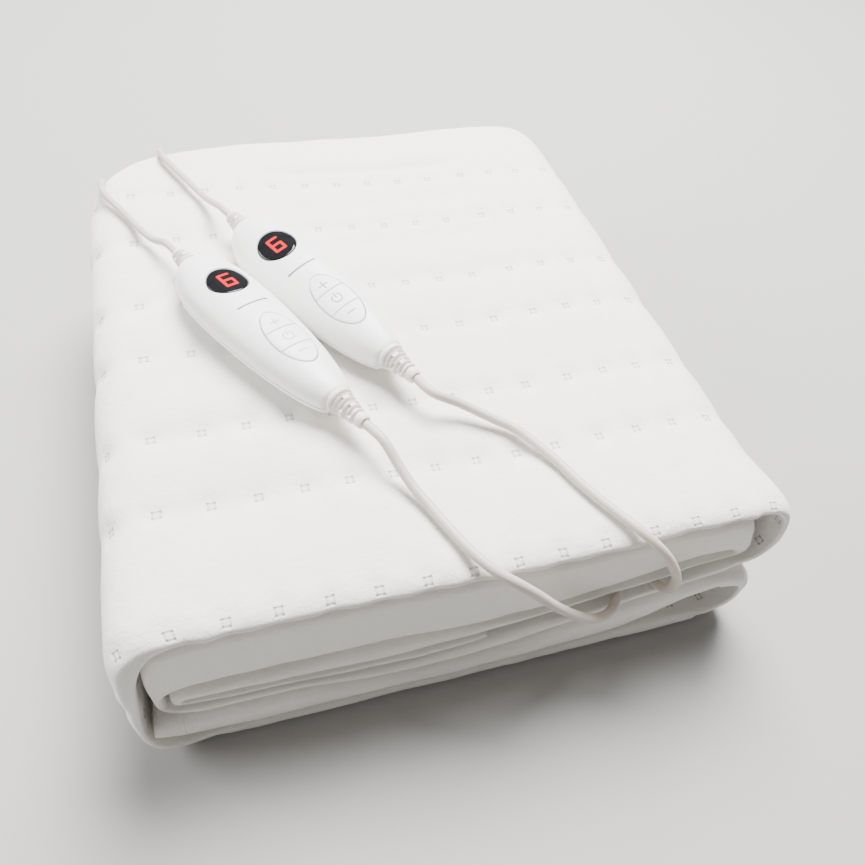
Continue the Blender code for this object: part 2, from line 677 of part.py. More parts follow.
def smooth_route(points, spacing):
    """Evenly spaced points along a smooth curve through the given ones."""
    points = [Vector(point) for point in points]
    padded = [2 * points[0] - points[1]] + points + [2 * points[-1] - points[-2]]
    dense = []
    for a, b, c, d in zip(padded, padded[1:], padded[2:], padded[3:]):
        for step in range(12):
            t = step / 12
            dense.append(0.5 * (2 * b + (c - a) * t + (2 * a - 5 * b + 4 * c - d) * t * t
                                + (3 * b - a - 3 * c + d) * t ** 3))
    dense.append(points[-1])
    lengths = [0.0]
    for a, b in zip(dense, dense[1:]):
        lengths.append(lengths[-1] + (b - a).length)
    count = max(round(lengths[-1] / spacing), 2)
    even = []
    index = 0
    for step in range(count + 1):
        target = lengths[-1] * step / count
        while index < len(dense) - 2 and lengths[index + 1] < target:
            index += 1
        share = (target - lengths[index]) / (lengths[index + 1] - lengths[index])
        even.append(dense[index].lerp(dense[index + 1], share))
    return even


def make_lead(name, route, diameter, finish):
    """A round lead along a route."""
    points = smooth_route(route, POINT_SPACING * diameter)
    curve = bpy.data.curves.new(name, "CURVE")
    curve.dimensions = "3D"
    curve.bevel_depth = diameter / 2 * MM
    curve.bevel_resolution = LEAD_SIDES
    curve.use_fill_caps = True
    line = curve.splines.new("POLY")
    line.points.add(len(points) - 1)
    for spot, point in zip(line.points, points):
        spot.co = (*(point * MM), 1.0)
    return add_object(name, curve, finish)


def make_coil(name, coil, finish):
    """The outer shape of a neat coil of the mains lead."""
    width = COIL_WIDE * MAINS_LEAD
    height = COIL_HIGH * MAINS_LEAD
    inside, outside = COIL_RADIUS - width / 2, COIL_RADIUS + width / 2
    bevel = MAINS_LEAD / 4
    ring = [(inside, bevel), (inside + bevel, 0.0), (outside - bevel, 0.0), (outside, bevel),
            (outside, height - bevel), (outside - bevel, height), (inside + bevel, height),
            (inside, height - bevel)]
    shape = bmesh.new()
    rings = []
    for step in range(COIL_FACES):
        angle = 2 * math.pi * step / COIL_FACES
        rings.append([shape.verts.new(Vector(
            (coil.x + r * math.cos(angle), coil.y + r * math.sin(angle), z)) * MM) for r, z in ring])
    for near, far in zip(rings, rings[1:] + rings[:1]):
        for a in range(len(ring)):
            b = (a + 1) % len(ring)
            shape.faces.new((near[a], near[b], far[b], far[a]))
    return add_object(name, mesh_from(name, shape), finish, smooth_angle=30.0)


def tangent_line(coil, turn):
    """A point on the coil's outer turn and the clockwise direction of the lead there."""
    angle = math.radians(turn)
    radius = COIL_RADIUS + (COIL_WIDE - 1) * MAINS_LEAD / 2
    out = Vector((math.cos(angle), math.sin(angle), 0.0))
    along = Vector((math.sin(angle), -math.cos(angle), 0.0))
    return Vector((coil.x, coil.y, MAINS_LEAD / 2 + 0.2)) + out * radius, along


def make_plug(name, coil, finishes):
    """A moulded three-pin plug lying beside its coil."""
    point, along = tangent_line(coil, COIL_OUTLET)
    clear = 38.0            # past the touching point, so the lead comes down from the coil's top turn
    holder = bpy.data.objects.new("plug_holder_" + name, None)
    bpy.context.collection.objects.link(holder)
    heading = math.atan2(along.y, along.x)
    start = point + along * clear
    rest = PLUG_HEIGHT / 2
    holder.matrix_world = Matrix.Translation(Vector((start.x, start.y, 0.0)) * MM) @ Matrix.Rotation(
        heading, 4, "Z")

    shape = bmesh.new()
    sections = ((0.0, 3.2, 0.0), (PLUG_RELIEF_LENGTH, 5.2, 0.6), (PLUG_RELIEF_LENGTH + 4.0, 10.5, 1.0),
                (PLUG_RELIEF_LENGTH + 12.0, PLUG_WIDTH / 2, 1.0),
                (PLUG_RELIEF_LENGTH + PLUG_LENGTH, PLUG_WIDTH / 2, 1.0))
    rings = []
    sides = 16
    for distance, half, full in sections:
        tall = 3.2 + (rest - 3.2) * full
        lift = 3.4 + (rest - 3.4) * full
        ring = []
        for step in range(sides):
            angle = 2 * math.pi * (step + 0.5) / sides
            power = 2.0 / (2.0 + 2.0 * full)
            y = math.copysign(abs(math.cos(angle)) ** power, math.cos(angle)) * half
            z = math.copysign(abs(math.sin(angle)) ** power, math.sin(angle)) * tall
            ring.append(shape.verts.new(Vector((distance, y, max(lift + z, 0.0))) * MM))
        rings.append(ring)
    for near, far in zip(rings, rings[1:]):
        for a in range(sides):
            b = (a + 1) % sides
            shape.faces.new((near[a], near[b], far[b], far[a]))
    shape.faces.new(rings[0])
    shape.faces.new(rings[-1])
    body = add_object("plug_" + name, mesh_from("plug_" + name, shape), finishes["plug"], smooth_angle=35.0)
    body.parent = holder

    face = PLUG_RELIEF_LENGTH + PLUG_LENGTH + CLEARANCE
    for pin, (across, up, lean) in PINS.items():
        pin_mesh = bpy.data.meshes.new("pin_" + pin + "_" + name)
        block = bmesh.new()
        bmesh.ops.create_cube(block, size=1.0)
        bmesh.ops.scale(block, vec=Vector((PIN_LENGTH, PIN_THICK, PIN_WIDTH)) * MM, verts=block.verts)
        block.to_mesh(pin_mesh)
        block.free()
        piece = add_object("pin_" + pin + "_" + name, pin_mesh, finishes["pin"])
        piece.parent = holder
        piece.location = Vector((face + PIN_LENGTH / 2, across, rest + up)) * MM
        piece.rotation_euler = (math.radians(lean), 0.0, 0.0)


def centre_footprint():
    """Move everything so that the middle of the folded stack is over the origin."""
    stack = bpy.data.objects["blanket"].data
    for axis in (0, 1):
        places = [vert.co[axis] for vert in stack.vertices]
        middle = (min(places) + max(places)) / 2
        for piece in bpy.data.objects:
            if piece.parent is None:
                piece.location[axis] -= middle


def build():
    """The whole object."""
    for old in list(bpy.data.objects):
        bpy.data.objects.remove(old)
    finishes = {
        "cloth": material("cloth", (0.88, 0.88, 0.86), 0.95),
        "shell": material("shell", (0.9, 0.9, 0.89), 0.3),
        "key": material("key", (0.88, 0.88, 0.87), 0.4),
        "window": material("window", (0.01, 0.01, 0.01), 0.1),
        "relief": material("relief", (0.82, 0.79, 0.75), 0.5),
        "lead": material("lead", (0.82, 0.79, 0.75), 0.5),
        "plug": material("plug", (0.88, 0.87, 0.84), 0.4),
        "pin": material("pin", (0.75, 0.6, 0.35), 0.3, metallic=1.0),
    }
    make_blanket(finishes["cloth"])
    for lie in LIES:
        placed = make_controller(lie, finishes)
        name = lie.name
        front = relief_tip(placed, 1, LARGE_RELIEF) + [Vector(p) for p in BLANKET_ROUTES[name]]
        make_lead("blanket_lead_" + name, front, BLANKET_LEAD, finishes["lead"])
        coil = COILS[name]
        touch, along = tangent_line(coil, COIL_INLET)
        run_in = [touch - along * distance for distance in (28.0, 16.4)]
        rear = relief_tip(placed, -1, SMALL_RELIEF) + [Vector(p) for p in MAINS_ROUTES[name]] + run_in
        make_lead("mains_lead_" + name, rear, MAINS_LEAD, finishes["lead"])
        make_coil("mains_coil_" + name, coil, finishes["lead"])
        make_plug(name, coil, finishes)
    centre_footprint()


build()
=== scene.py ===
"""Looks for a folded electric heated blanket with its two hand controllers, around its solids.

Lengths in tables are in millimetres, in the maker's drawing of the folded stack: X along the
front edge, +Y to the back, +Z up from the floor. on_stack() takes them to the part's own metres.
"""
import math

import bmesh
import bpy
import numpy as np
from mathutils import Matrix, Vector, noise


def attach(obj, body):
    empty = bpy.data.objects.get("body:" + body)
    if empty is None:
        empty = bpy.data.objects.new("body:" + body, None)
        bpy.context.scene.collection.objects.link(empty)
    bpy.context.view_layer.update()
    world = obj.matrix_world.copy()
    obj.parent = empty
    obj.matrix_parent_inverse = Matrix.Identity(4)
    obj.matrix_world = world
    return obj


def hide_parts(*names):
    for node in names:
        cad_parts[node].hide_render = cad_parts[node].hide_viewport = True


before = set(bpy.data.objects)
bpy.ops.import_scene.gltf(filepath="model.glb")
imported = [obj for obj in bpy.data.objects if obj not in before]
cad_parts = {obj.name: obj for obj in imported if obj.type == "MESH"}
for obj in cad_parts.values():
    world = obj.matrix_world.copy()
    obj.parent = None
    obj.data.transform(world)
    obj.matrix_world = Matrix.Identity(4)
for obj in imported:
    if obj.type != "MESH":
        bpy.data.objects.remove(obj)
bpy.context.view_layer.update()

# ---------------------------------------------------------------- the camera, the floor, the light
# The camera looks down on the stack from its front left, a little turned, at 50 degrees.
# The floor is a plain pale board, and the light is a soft white studio.
MM = 0.001
STACK_MIDDLE = Vector((-1.923, -6.94, 0.0))     # the stack's middle in its drawing


def on_stack(point):
    """A place of the drawing in the part's own metres."""
    return (Vector(point) - STACK_MIDDLE) * MM


def put_in_scene(name, data):
    """An object with its data, linked into the scene."""
    made = bpy.data.objects.new(name, data)
    bpy.context.scene.collection.objects.link(made)
    return made


camera = put_in_scene("camera", bpy.data.cameras.new("camera"))
camera.data.sensor_width = 36.0
camera.data.lens = 31.083
camera.data.clip_start = 0.01
camera_axes = Matrix((
    (0.95888, 0.15564, -0.23733),
    (-0.26969, 0.76022, -0.59105),
    (0.08843, 0.63075, 0.77093),
)).to_4x4()
camera.matrix_world = Matrix.Translation(on_stack((-90.28, -317.69, 383.87))) @ camera_axes
bpy.context.scene.camera = camera

floor_finish = bpy.data.materials.new("floor_board")
floor_finish.use_nodes = True
floor_paint = floor_finish.node_tree.nodes["Principled BSDF"]
floor_paint.inputs["Base Color"].default_value = (0.38, 0.373, 0.36, 1.0)
floor_paint.inputs["Roughness"].default_value = 0.9
floor_mesh = bpy.data.meshes.new("floor_board")
floor_mesh.from_pydata([(-6, -6, 0), (6, -6, 0), (6, 6, 0), (-6, 6, 0)], [], [(0, 1, 2, 3)])
floor_mesh.materials.append(floor_finish)
floor_board = put_in_scene("floor_board", floor_mesh)
floor_board.location.z = -0.0004        # just under the stack, so that the two share no plane

sky = bpy.data.worlds.new("studio")
sky.use_nodes = True
sky.node_tree.nodes["Background"].inputs["Color"].default_value = (1.0, 0.995, 0.985, 1.0)
sky.node_tree.nodes["Background"].inputs["Strength"].default_value = 0.3
bpy.context.scene.world = sky
for name, place, size, power in (("softbox_back", (0.38, 0.7, 1.55), 1.0, 172.0),
                                 ("softbox_left", (-1.5, 0.45, 0.8), 0.9, 36.0)):
    lamp = bpy.data.lights.new(name, "AREA")
    lamp.size = size
    lamp.energy = power
    softbox = put_in_scene(name, lamp)
    softbox.location = place
    softbox.rotation_euler = (-Vector(place)).to_track_quat("-Z", "Y").to_euler()


# ---------------------------------------------------------------- the leads and their coils
# Round PVC-sheathed flex, beige white and satin. Two thicker leads run from the controllers over
# the front edge into the fold, where they meet the cloth. Two mains leads go over the back edge
# to neat coils on the floor, each with a moulded plug.
class Share:
    """A number in a node tree, kept as its socket, that ordinary sums can be written with."""

    def __init__(self, sheet, socket):
        self.sheet, self.socket = sheet, socket

    def sum_node(self, operation, *values):
        made = self.sheet.node("ShaderNodeMath", dict(enumerate(values)), operation=operation)
        return Share(self.sheet, made.outputs[0])

    def __add__(self, other):
        return self.sum_node("ADD", self, other)

    def __sub__(self, other):
        return self.sum_node("SUBTRACT", self, other)

    def __rsub__(self, other):
        return self.sum_node("SUBTRACT", other, self)

    def __mul__(self, other):
        return self.sum_node("MULTIPLY", self, other)

    def __truediv__(self, other):
        return self.sum_node("DIVIDE", self, other)

    def size(self):
        return self.sum_node("ABSOLUTE", self)

    def larger(self, other):
        return self.sum_node("MAXIMUM", self, other)

    def smaller(self, other):
        return self.sum_node("MINIMUM", self, other)

    def root(self):
        return self.sum_node("SQRT", self)

    def off_nearest(self):
        """The signed distance from the nearest whole number."""
        return self - self.sum_node("FLOOR", self + 0.5)

    def fades(self, low, high):
        """1 below low, 0 above high and a soft change between them."""
        made = self.sheet.node("ShaderNodeMapRange", {
            "Value": self, "From Min": low, "From Max": high, "To Min": 1.0, "To Max": 0.0,
        }, interpolation_type="SMOOTHSTEP")
        return Share(self.sheet, made.outputs["Result"])


class NodeSheet:
    """A node tree that is put together here."""

    def __init__(self, tree):
        self.tree = tree

    def node(self, kind, values=None, **settings):
        """A node of a kind, with the values of its sockets and its own settings.

        A value can be a number, a Share, a socket, or a node, whose first output is then meant.
        """
        made = self.tree.nodes.new(kind)
        for setting, value in settings.items():
            setattr(made, setting, value)
        for socket, value in (values or {}).items():
            if isinstance(value, Share):
                value = value.socket
            elif isinstance(value, bpy.types.Node):
                value = value.outputs[0]
            if isinstance(value, bpy.types.NodeSocket):
                self.tree.links.new(value, made.inputs[socket])
            else:
                made.inputs[socket].default_value = value
        return made


class Finish(NodeSheet):
    """A material. What it is made with is named after the sockets of its surface."""

    def __init__(self, name, **fixed):
        self.material = bpy.data.materials.new(name)
        self.material.use_nodes = True
        super().__init__(self.material.node_tree)
        self.surface = self.tree.nodes["Principled BSDF"]
        for socket, value in fixed.items():
            socket = socket.replace("_", " ").title().replace("Ior", "IOR")
            self.surface.inputs[socket].default_value = value

    def flat_map(self, name):
        """The two shares of one of the piece's own flat maps."""
        laid = self.node("ShaderNodeUVMap", uv_map=name)
        parts = self.node("ShaderNodeSeparateXYZ", {"Vector": laid}).outputs
        return Share(self, parts[0]), Share(self, parts[1])

    def grain(self, scale, detail=2.0, rough=0.5, stretch=None):
        """Soft noise from 0 to 1, fixed to the piece, with its scale in waves to a metre."""
        where = self.node("ShaderNodeTexCoord").outputs["Object"]
        if stretch:
            where = self.node("ShaderNodeMapping", {"Vector": where, "Scale": stretch})
        return Share(self, self.node("ShaderNodeTexNoise", {
            "Vector": where, "Scale": scale, "Detail": detail, "Roughness": rough}).outputs[0])

    def blend_colours(self, share, first, second):
        """From the first colour, at a share of 0, to the second."""
        first, second = ((*colour, 1.0) if isinstance(colour, tuple) else colour
                         for colour in (first, second))
        made = self.node("ShaderNodeMix", {0: share, 6: first, 7: second}, data_type="RGBA")
        return made.outputs[2]

    def paint(self, socket, value):
        """Feed one of the surface's sockets with what changes over it."""
        value = value.socket if isinstance(value, Share) else value
        self.tree.links.new(value, self.surface.inputs[socket])

    def emboss(self, height, distance, strength):
        """Raise the surface by a height map, in metres."""
        self.paint("Normal", self.node("ShaderNodeBump", {
            "Height": height, "Distance": distance, "Strength": strength}).outputs[0])

    def moulded(self, cloud, colours, gloss, bumps, printed=None):
        """Plain moulded stuff: two clouded colours, perhaps a print, uneven gloss, fine bumps.

        cloud is the scale and detail of its noise. gloss has these too, then the spread and the
        least value of the roughness, and bumps their height and strength. printed is a share and
        its ink.
        """
        tone = self.blend_colours(self.grain(*cloud), *colours)
        if printed:
            tone = self.blend_colours(printed[0], tone, printed[1])
        self.paint("Base Color", tone)
        self.paint("Roughness", self.grain(*gloss[:2]) * gloss[2] + gloss[3])
        self.emboss(self.grain(*bumps[:2]), *bumps[2:])


sheath = Finish("lead_sheath", roughness=0.42, specular_ior_level=0.45, subsurface_weight=0.05)
sheath.moulded((60.0, 3.0), ((0.50, 0.455, 0.40), (0.56, 0.51, 0.455)),
               (900.0, 2.0, 0.14, 0.34), (700.0, 3.0, 0.00012, 0.35))

# Where each controller lies: the middle of its body, its turn from +X, its pitch and its roll.
CONTROLLER_LIES = {
    "a": ((-77.0, -27.2, 112.6), -61.9, -0.2, -6.7),
    "b": ((-44.4, -1.2, 113.5), -62.2, 1.6, 12.3),
}
BODY_LENGTH = 126.4
BLANKET_RELIEF = 20.0       # length of the ribbed relief at the blanket lead's end
MAINS_RELIEF = 11.0
RELIEF_AXIS_Z = 2.2 + 1.0
LEAD_STRAIGHT = 12.0        # each lead leaves its relief straight for this far
BLANKET_LEAD = 4.8
MAINS_LEAD = 4.0
BLANKET_ROUTES = {
    "a": ((-26.6, -123.5, 110.6), (-22.2, -134.5, 107), (-17.2, -145, 105.2),
          (-11.7, -158, 104.8), (-6, -170.5, 104.8), (1.5, -181.5, 103.8), (11, -187.5, 99),
          (20.5, -190.5, 90.5), (30.5, -192.3, 79), (42.9, -193, 65.5), (54, -193, 55.5),
          (63.6, -191.5, 50.3), (71, -188, 48.2), (76, -182, 48.4), (79, -174, 49),
          (80, -155, 49.6), (80, -130, 49.8), (76, -104, 48.9)),
    "b": ((13, -92.5, 109.6), (27, -102.5, 106.4), (38, -112, 105),
          (49, -131.5, 104.6), (55.5, -146.8, 104.7), (61, -158, 105), (66.5, -168, 105.3),
          (74, -180.5, 105), (82, -188, 98.5), (89, -190.8, 88), (94.5, -191.5, 77),
          (97, -191, 68), (98, -189.5, 61), (97, -186.5, 56), (96, -181, 53.3),
          (95.3, -174, 53), (95, -163, 53.2), (95, -140, 53.8), (92, -115, 52.8)),
}
MAINS_ROUTES = {
    "a": ((-124.5, 60, 111.2), (-131.3, 73, 109.2), (-141.3, 94.5, 108.2),
          (-149.5, 111, 107.6), (-152.5, 121, 107), (-153.2, 130, 105.6), (-152.4, 138, 101),
          (-150.6, 143.5, 93), (-149, 147, 82), (-147, 150, 64), (-145, 154, 43),
          (-142, 161, 21), (-139, 171, 7.5), (-136, 183, 2.6), (-134, 194, 2.2)),
    "b": ((-92.5, 96, 111.8), (-103, 122, 109.4), (-111.5, 141, 108.9), (-114.8, 149, 109.4),
          (-116.2, 156, 108.6), (-116.7, 162, 105.4), (-116.5, 166, 100.2), (-115.6, 168.2, 93),
          (-113.8, 169.6, 84), (-110.5, 170.8, 72), (-105, 172, 54), (-95, 177, 31),
          (-82, 182, 13), (-66, 186, 3.8), (-50, 187, 2.2), (-32, 187, 2.2), (-12, 187, 2.2),
          (6, 191, 2.2)),
}
COIL_CENTRES = {"a": (-104.0, 236.0), "b": (48.0, 222.0)}
# The turns of a coil in the order they are wound, as (radius, height) of the lead's middle.
COIL_TURNS = ((28, 2.2), (24, 2.2), (20, 2.2), (20, 6.2), (24, 6.2), (28, 6.2), (28, 10.2),
              (24, 10.2), (20, 10.2))
COIL_WOUND = 8.25           # turns, clockwise from the inlet
COIL_STEPS = 24             # points to a turn
RUN_IN = (28.0, 16.4, 6.0)  # places before a coil where its lead is already straight
PLUG_CLEAR = 38             # from where the lead leaves its coil to the plug's relief
PLUG_AXIS_Z = 3.4
LINE_STEP = 3.0             # between the points of a lead's line

controller_places = {}
for name, (middle, turn, pitch, roll) in CONTROLLER_LIES.items():
    place = Matrix.Translation(Vector(middle))
    for degrees, axis in ((turn, "Z"), (pitch, "Y"), (roll, "X")):
        place = place @ Matrix.Rotation(math.radians(degrees), 4, axis)
    controller_places[name] = place


def relief_mouth(name, side, relief):
    """Where a lead leaves its strain relief, and the end of its straight start."""
    start = BODY_LENGTH / 2 + 0.9 + relief
    return [controller_places[name] @ Vector((side * along, 0.0, RELIEF_AXIS_Z))
            for along in (start, start + LEAD_STRAIGHT)]


def through(points, step):
    """Evenly spaced points on a smooth curve through the given ones."""
    points = [Vector(point) for point in points]
    padded = [2 * points[0] - points[1]] + points + [2 * points[-1] - points[-2]]
    dense = []
    for a, b, c, d in zip(padded, padded[1:], padded[2:], padded[3:]):
        for number in range(12):
            t = number / 12
            dense.append(0.5 * (2 * b + (c - a) * t + (2 * a - 5 * b + 4 * c - d) * t * t
                                + (3 * b - a - 3 * c + d) * t ** 3))
    dense.append(points[-1])
    run = np.cumsum([0.0] + [(b - a).length for a, b in zip(dense, dense[1:])])
    even = np.linspace(0.0, run[-1], max(round(run[-1] / step), 2) + 1)
    columns = [[point[axis] for point in dense] for axis in range(3)]
    return [Vector([np.interp(s, run, column) for column in columns]) for s in even]


def eased(share):
    """A soft change from 0 to 1."""
    held = np.clip(share, 0.0, 1.0)
    return held * held * (3.0 - 2.0 * held)


def coil_point(name, wound):
    """The lead's middle after some turns round its coil, clockwise from the inlet."""
    slot = min(int(wound), len(COIL_TURNS) - 1)
    radius, height = COIL_TURNS[slot]
    if slot + 1 < len(COIL_TURNS):
        shift = eased((wound - slot - 0.80) / 0.17)
        radius += (COIL_TURNS[slot + 1][0] - radius) * shift
        height += (COIL_TURNS[slot + 1][1] - height) * shift
    angle = math.pi - 2 * math.pi * wound
    x, y = COIL_CENTRES[name]
    return Vector((x + radius * math.cos(angle), y + radius * math.sin(angle), height))


def flex(name, points, diameter):
    """A round lead along a line of points."""
    curve = bpy.data.curves.new(name, "CURVE")
    curve.dimensions = "3D"
    curve.bevel_depth = diameter / 2 * MM
    curve.bevel_resolution = 5
    curve.use_fill_caps = True
    line = curve.splines.new("POLY")
    line.points.add(len(points) - 1)
    for spot, point in zip(line.points, points):
        spot.co = (*on_stack(point), 1.0)
        spot.radius = 1.0
    curve.materials.append(sheath.material)
    return put_in_scene(name, curve)


def length_of(points):
    return sum((b - a).length for a, b in zip(points, points[1:])) * MM


BODY = "blanket_and_housings"
mains_leads = {}
for name in "ab":
    line = through(relief_mouth(name, 1, BLANKET_RELIEF) + list(BLANKET_ROUTES[name]), LINE_STEP)
    lead = flex("blanket_flex_" + name, line, BLANKET_LEAD)
    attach(lead, BODY)
    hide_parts("blanket_lead_" + name)
    on_stack(line[0])
    length_of(line)

    touch = coil_point(name, 0.0)
    line = through(relief_mouth(name, -1, MAINS_RELIEF) + list(MAINS_ROUTES[name])
                   + [touch + Vector((0.0, -gap, 0.0)) for gap in RUN_IN], LINE_STEP)
    steps = range(int(COIL_WOUND * COIL_STEPS) + 1)
    line += [coil_point(name, step / COIL_STEPS) for step in steps]
    out = line[-1]
    line += [out + Vector((away, 0.0, (PLUG_AXIS_Z - out.z) * eased((away - 12.0) / 22.0)))
             for away in (*range(4, PLUG_CLEAR, 4), PLUG_CLEAR)]
    lead = flex("mains_flex_" + name, line, MAINS_LEAD)
    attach(lead, BODY)
    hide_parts("mains_lead_" + name, "mains_coil_" + name)
    mains_leads[name] = (lead, line)

# ---------------------------------------------------------------- the plugs
# A moulded white plug on each mains lead, one piece with its tapered relief, with a waist to
# hold it by and three bright brass blades.
plug_shell = Finish("plug_moulding", roughness=0.38)
plug_shell.moulded((45.0, 3.0), ((0.84, 0.82, 0.785), (0.87, 0.855, 0.825)),
                   (500.0, 2.0, 0.16, 0.32), (1500.0, 2.0, 0.0001, 0.25))

blade = Finish("plug_blade", roughness=0.3, metallic=1.0)
blade.paint("Base Color", blade.blend_colours(
    blade.grain(300.0, detail=4.0), (0.72, 0.56, 0.30), (0.83, 0.69, 0.44)))
blade.paint("Roughness", blade.grain(1200.0, stretch=(0.1, 1.0, 1.0)) * 0.3 + 0.18)

for name, (lead, line) in mains_leads.items():
    fitted = [kind + name for kind in ("plug_", "pin_live_", "pin_neutral_", "pin_earth_")]
    for node in fitted:
        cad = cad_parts[node]
        cad.data.materials.clear()
        cad.data.materials.append((plug_shell if node.startswith("plug") else blade).material)
    on_stack(line[0])
    length_of(line)

# ---------------------------------------------------------------- the folded blanket
# Soft white fleece-faced quilting with the heating wire between its layers, held together by
# small square welds in straight rows. It is folded back and forth into a flat stack, the last
# fold wrapped round the left side, and its raw end is turned in and stitched as a hem.
HEIGHTS_AT = (-120, -90, -60, -30, 0, 30, 60, 90, 115, 135)
HEIGHTS = {
    "floor": (6, 6, 6, 6, 6, 6.5, 7.5, 9, 9, 8),
    "recess": (7, 7, 7, 7, 7, 8, 10, 16, 30, 38.5),
    "base": (28, 29, 23.5, 19, 20, 24, 35.5, 41.5, 47.5, 50),
    "back": (33, 33, 28.5, 25.5, 29.5, 36, 39.6, 46, 52.5, 57.5),
    "slit": (37, 36.5, 32.5, 30.5, 34, 42, 45.6, 52, 58.5, 63),
    "tongue": (46, 46.5, 46.5, 45, 42.5, 44.5, 48, 54.4, 61, 65.5),
    "block": (90, 91, 91, 90, 89, 88.5, 89.5, 91.5, 93, 92.5),
    "cover": (98, 99, 99, 98, 97, 96.5, 97.5, 99.5, 100.5, 99.5),
}
LAYERS = {      # the inner and the outer face of each layer
    "tongue_low": (("back", 1.0), ("slit", -0.4)),
    "tongue_high": (("tongue", 0.0), ("slit", 0.4)),
    "block": (("tongue", 1.0), ("block", 0.0)),
    "back": (("back", 0.0), ("base", 1.0)),
    "cover": (("block", 1.0), ("cover", 0.0)),
    "floor": (("floor", 0.0), (None, 0.0)),
    "base": (("recess", 0.0), ("base", 0.0)),
}
FRONT_Y = {"tongue_low": -182.5, "tongue_high": -182.0, "block": -181.0, "back": -185.0,
           "cover": -180.5, "floor": -187.3, "base": -188.0}
# Turns: start, outer reach, inner reach, outer shear, inner shear, nose, squareness.
TURNS = {
    "tongue": (-120.0, -136.5, -142.4, 0.0, 0.0, -0.2, 3.5),
    "block": (118.0, 145.0, 136.0, -0.42, -0.3, 0.0, 5.0),
    "left": (-120.0, -149.3, -144.4, 0.0, 0.0, -0.2, 3.5),
    "upper_right": (135.0, 163.5, 156.5, 0.0, 0.0, -0.1, 2.7),
    "left_wall": (-120.0, -162.5, -153.5, 0.0, 0.12, 0.0, 3.8),
    "lower_right": (135.0, 161.0, 153.5, 0.0, 0.0, 0.0, 2.5),
}
HEM_X = (-141.0, -149.3, -152.5)
HEM_LOW = (8.4, 12.6, 17.5)
HEM_HIGH = (27.0, 26.5, 24.5)
WALL_BULGE = 4.5
FINE, PLAIN = 2.3, 6.0      # spacing across the stack where the cloth shows, and where it doesn't
DEPTH_POINTS, FINER = 156, 5    # points of a shown line along the stack, and to one of a plain line
SPOT_ROWS_Y = (117.0, 70.1, 15.0, -25.5, -78.2, -120.4, -177.5)
SPOT_PITCH = 21.0
LEFT_COLUMN, WIDE_GAP, RIGHT_COLUMN = -57.6, -69.8, -82.0     # the wide gap and its welds
ROW_REACH, ROW_SHARE = 8.0, 0.2     # by each row, so many mm are this share of a row number
ROW_PITCH = ROW_REACH / ROW_SHARE

height_x = np.arange(-120.0, 135.01, 1.0)


def soft(values, reach):
    """Values with their corners rounded off over a reach."""
    taps = np.exp(-0.5 * (np.arange(-3 * reach, 3 * reach + 1) / reach) ** 2)
    taps /= taps.sum()
    padded = np.pad(values, 3 * reach, mode="reflect", reflect_type="odd")
    return np.convolve(padded, taps, mode="valid")


height_of = {key: soft(np.interp(height_x, HEIGHTS_AT, row), 5) for key, row in HEIGHTS.items()}


def faces_of(layer, x):
    """The inner and outer heights of a layer across the stack."""
    both = []
    for key, lift in LAYERS[layer]:
        both.append(0.0 if key is None else float(np.interp(x, height_x, height_of[key])) + lift)
    return both


section = []        # one (inner, outer, front Y, layer, is it seen) for each line of the cloth


def lay_run(layer, start, end, step, seen):
    """A straight run of one layer."""
    count = max(round(abs(end - start) / step), 1)
    for number in range(count + 1):
        x = start + (end - start) * number / count
        low, high = faces_of(layer, x)
        section.append(((x, low), (x, high), FRONT_Y[layer], layer, seen))


def lay_turn(key, upper, lower, down, step, seen):
    """A turn of the cloth between two layers."""
    start, reach_out, reach_in, shear_out, shear_in, nose, square = TURNS[key]
    up_in, up_out = faces_of(upper, start)
    low_in, low_out = faces_of(lower, start)
    around = 2 * abs(reach_out - start) + abs(up_out - low_out)
    count = max(round(around / step), 6)
    places = []
    for number in range(1, count):
        share = number / count
        angle = math.pi * (0.5 - share)
        out = abs(math.cos(angle)) ** (2.0 / square)
        lift = math.copysign(abs(math.sin(angle)) ** (2.0 / square), math.sin(angle))
        both = []
        for reach, shear, high, low in ((reach_in, shear_in, up_in, low_in),
                                        (reach_out, shear_out, up_out, low_out)):
            half = (high - low) / 2
            x = start + (reach - start) * out
            z = (high + low) / 2 + half * (lift + nose * out * (1.0 - abs(lift)))
            both.append((x + shear * (z - (high + low) / 2) * out, z))
        front = FRONT_Y[upper] * (1.0 - share) + FRONT_Y[lower] * share
        if key == "left_wall":
            front -= WALL_BULGE * math.sin(math.pi * share ** 2)
        places.append((both[0], both[1], front, key, seen))
    section.extend(places if down else places[::-1])


lay_run("tongue_low", 8.0, -120.0, PLAIN, False)
lay_turn("tongue", "tongue_high", "tongue_low", False, 3.0, False)
lay_run("tongue_high", -120.0, 117.0, PLAIN, False)
lay_turn("block", "block", "tongue_high", False, 2.5, False)
lay_run("block", 117.0, -120.0, PLAIN, False)
lay_turn("left", "block", "back", True, 3.0, False)
lay_run("back", -120.0, 135.0, PLAIN, False)
lay_turn("upper_right", "cover", "back", False, FINE, True)
lay_run("cover", 135.0, -120.0, FINE, True)
lay_turn("left_wall", "cover", "floor", True, FINE, True)
lay_run("floor", -120.0, 135.0, PLAIN, False)
lay_turn("lower_right", "base", "floor", False, FINE, True)
lay_run("base", 135.0, -120.0, PLAIN, False)
for x, low, high in zip(HEM_X, HEM_LOW, HEM_HIGH):
    section.append(((x, low), (x, high), FRONT_Y["base"], "base", False))

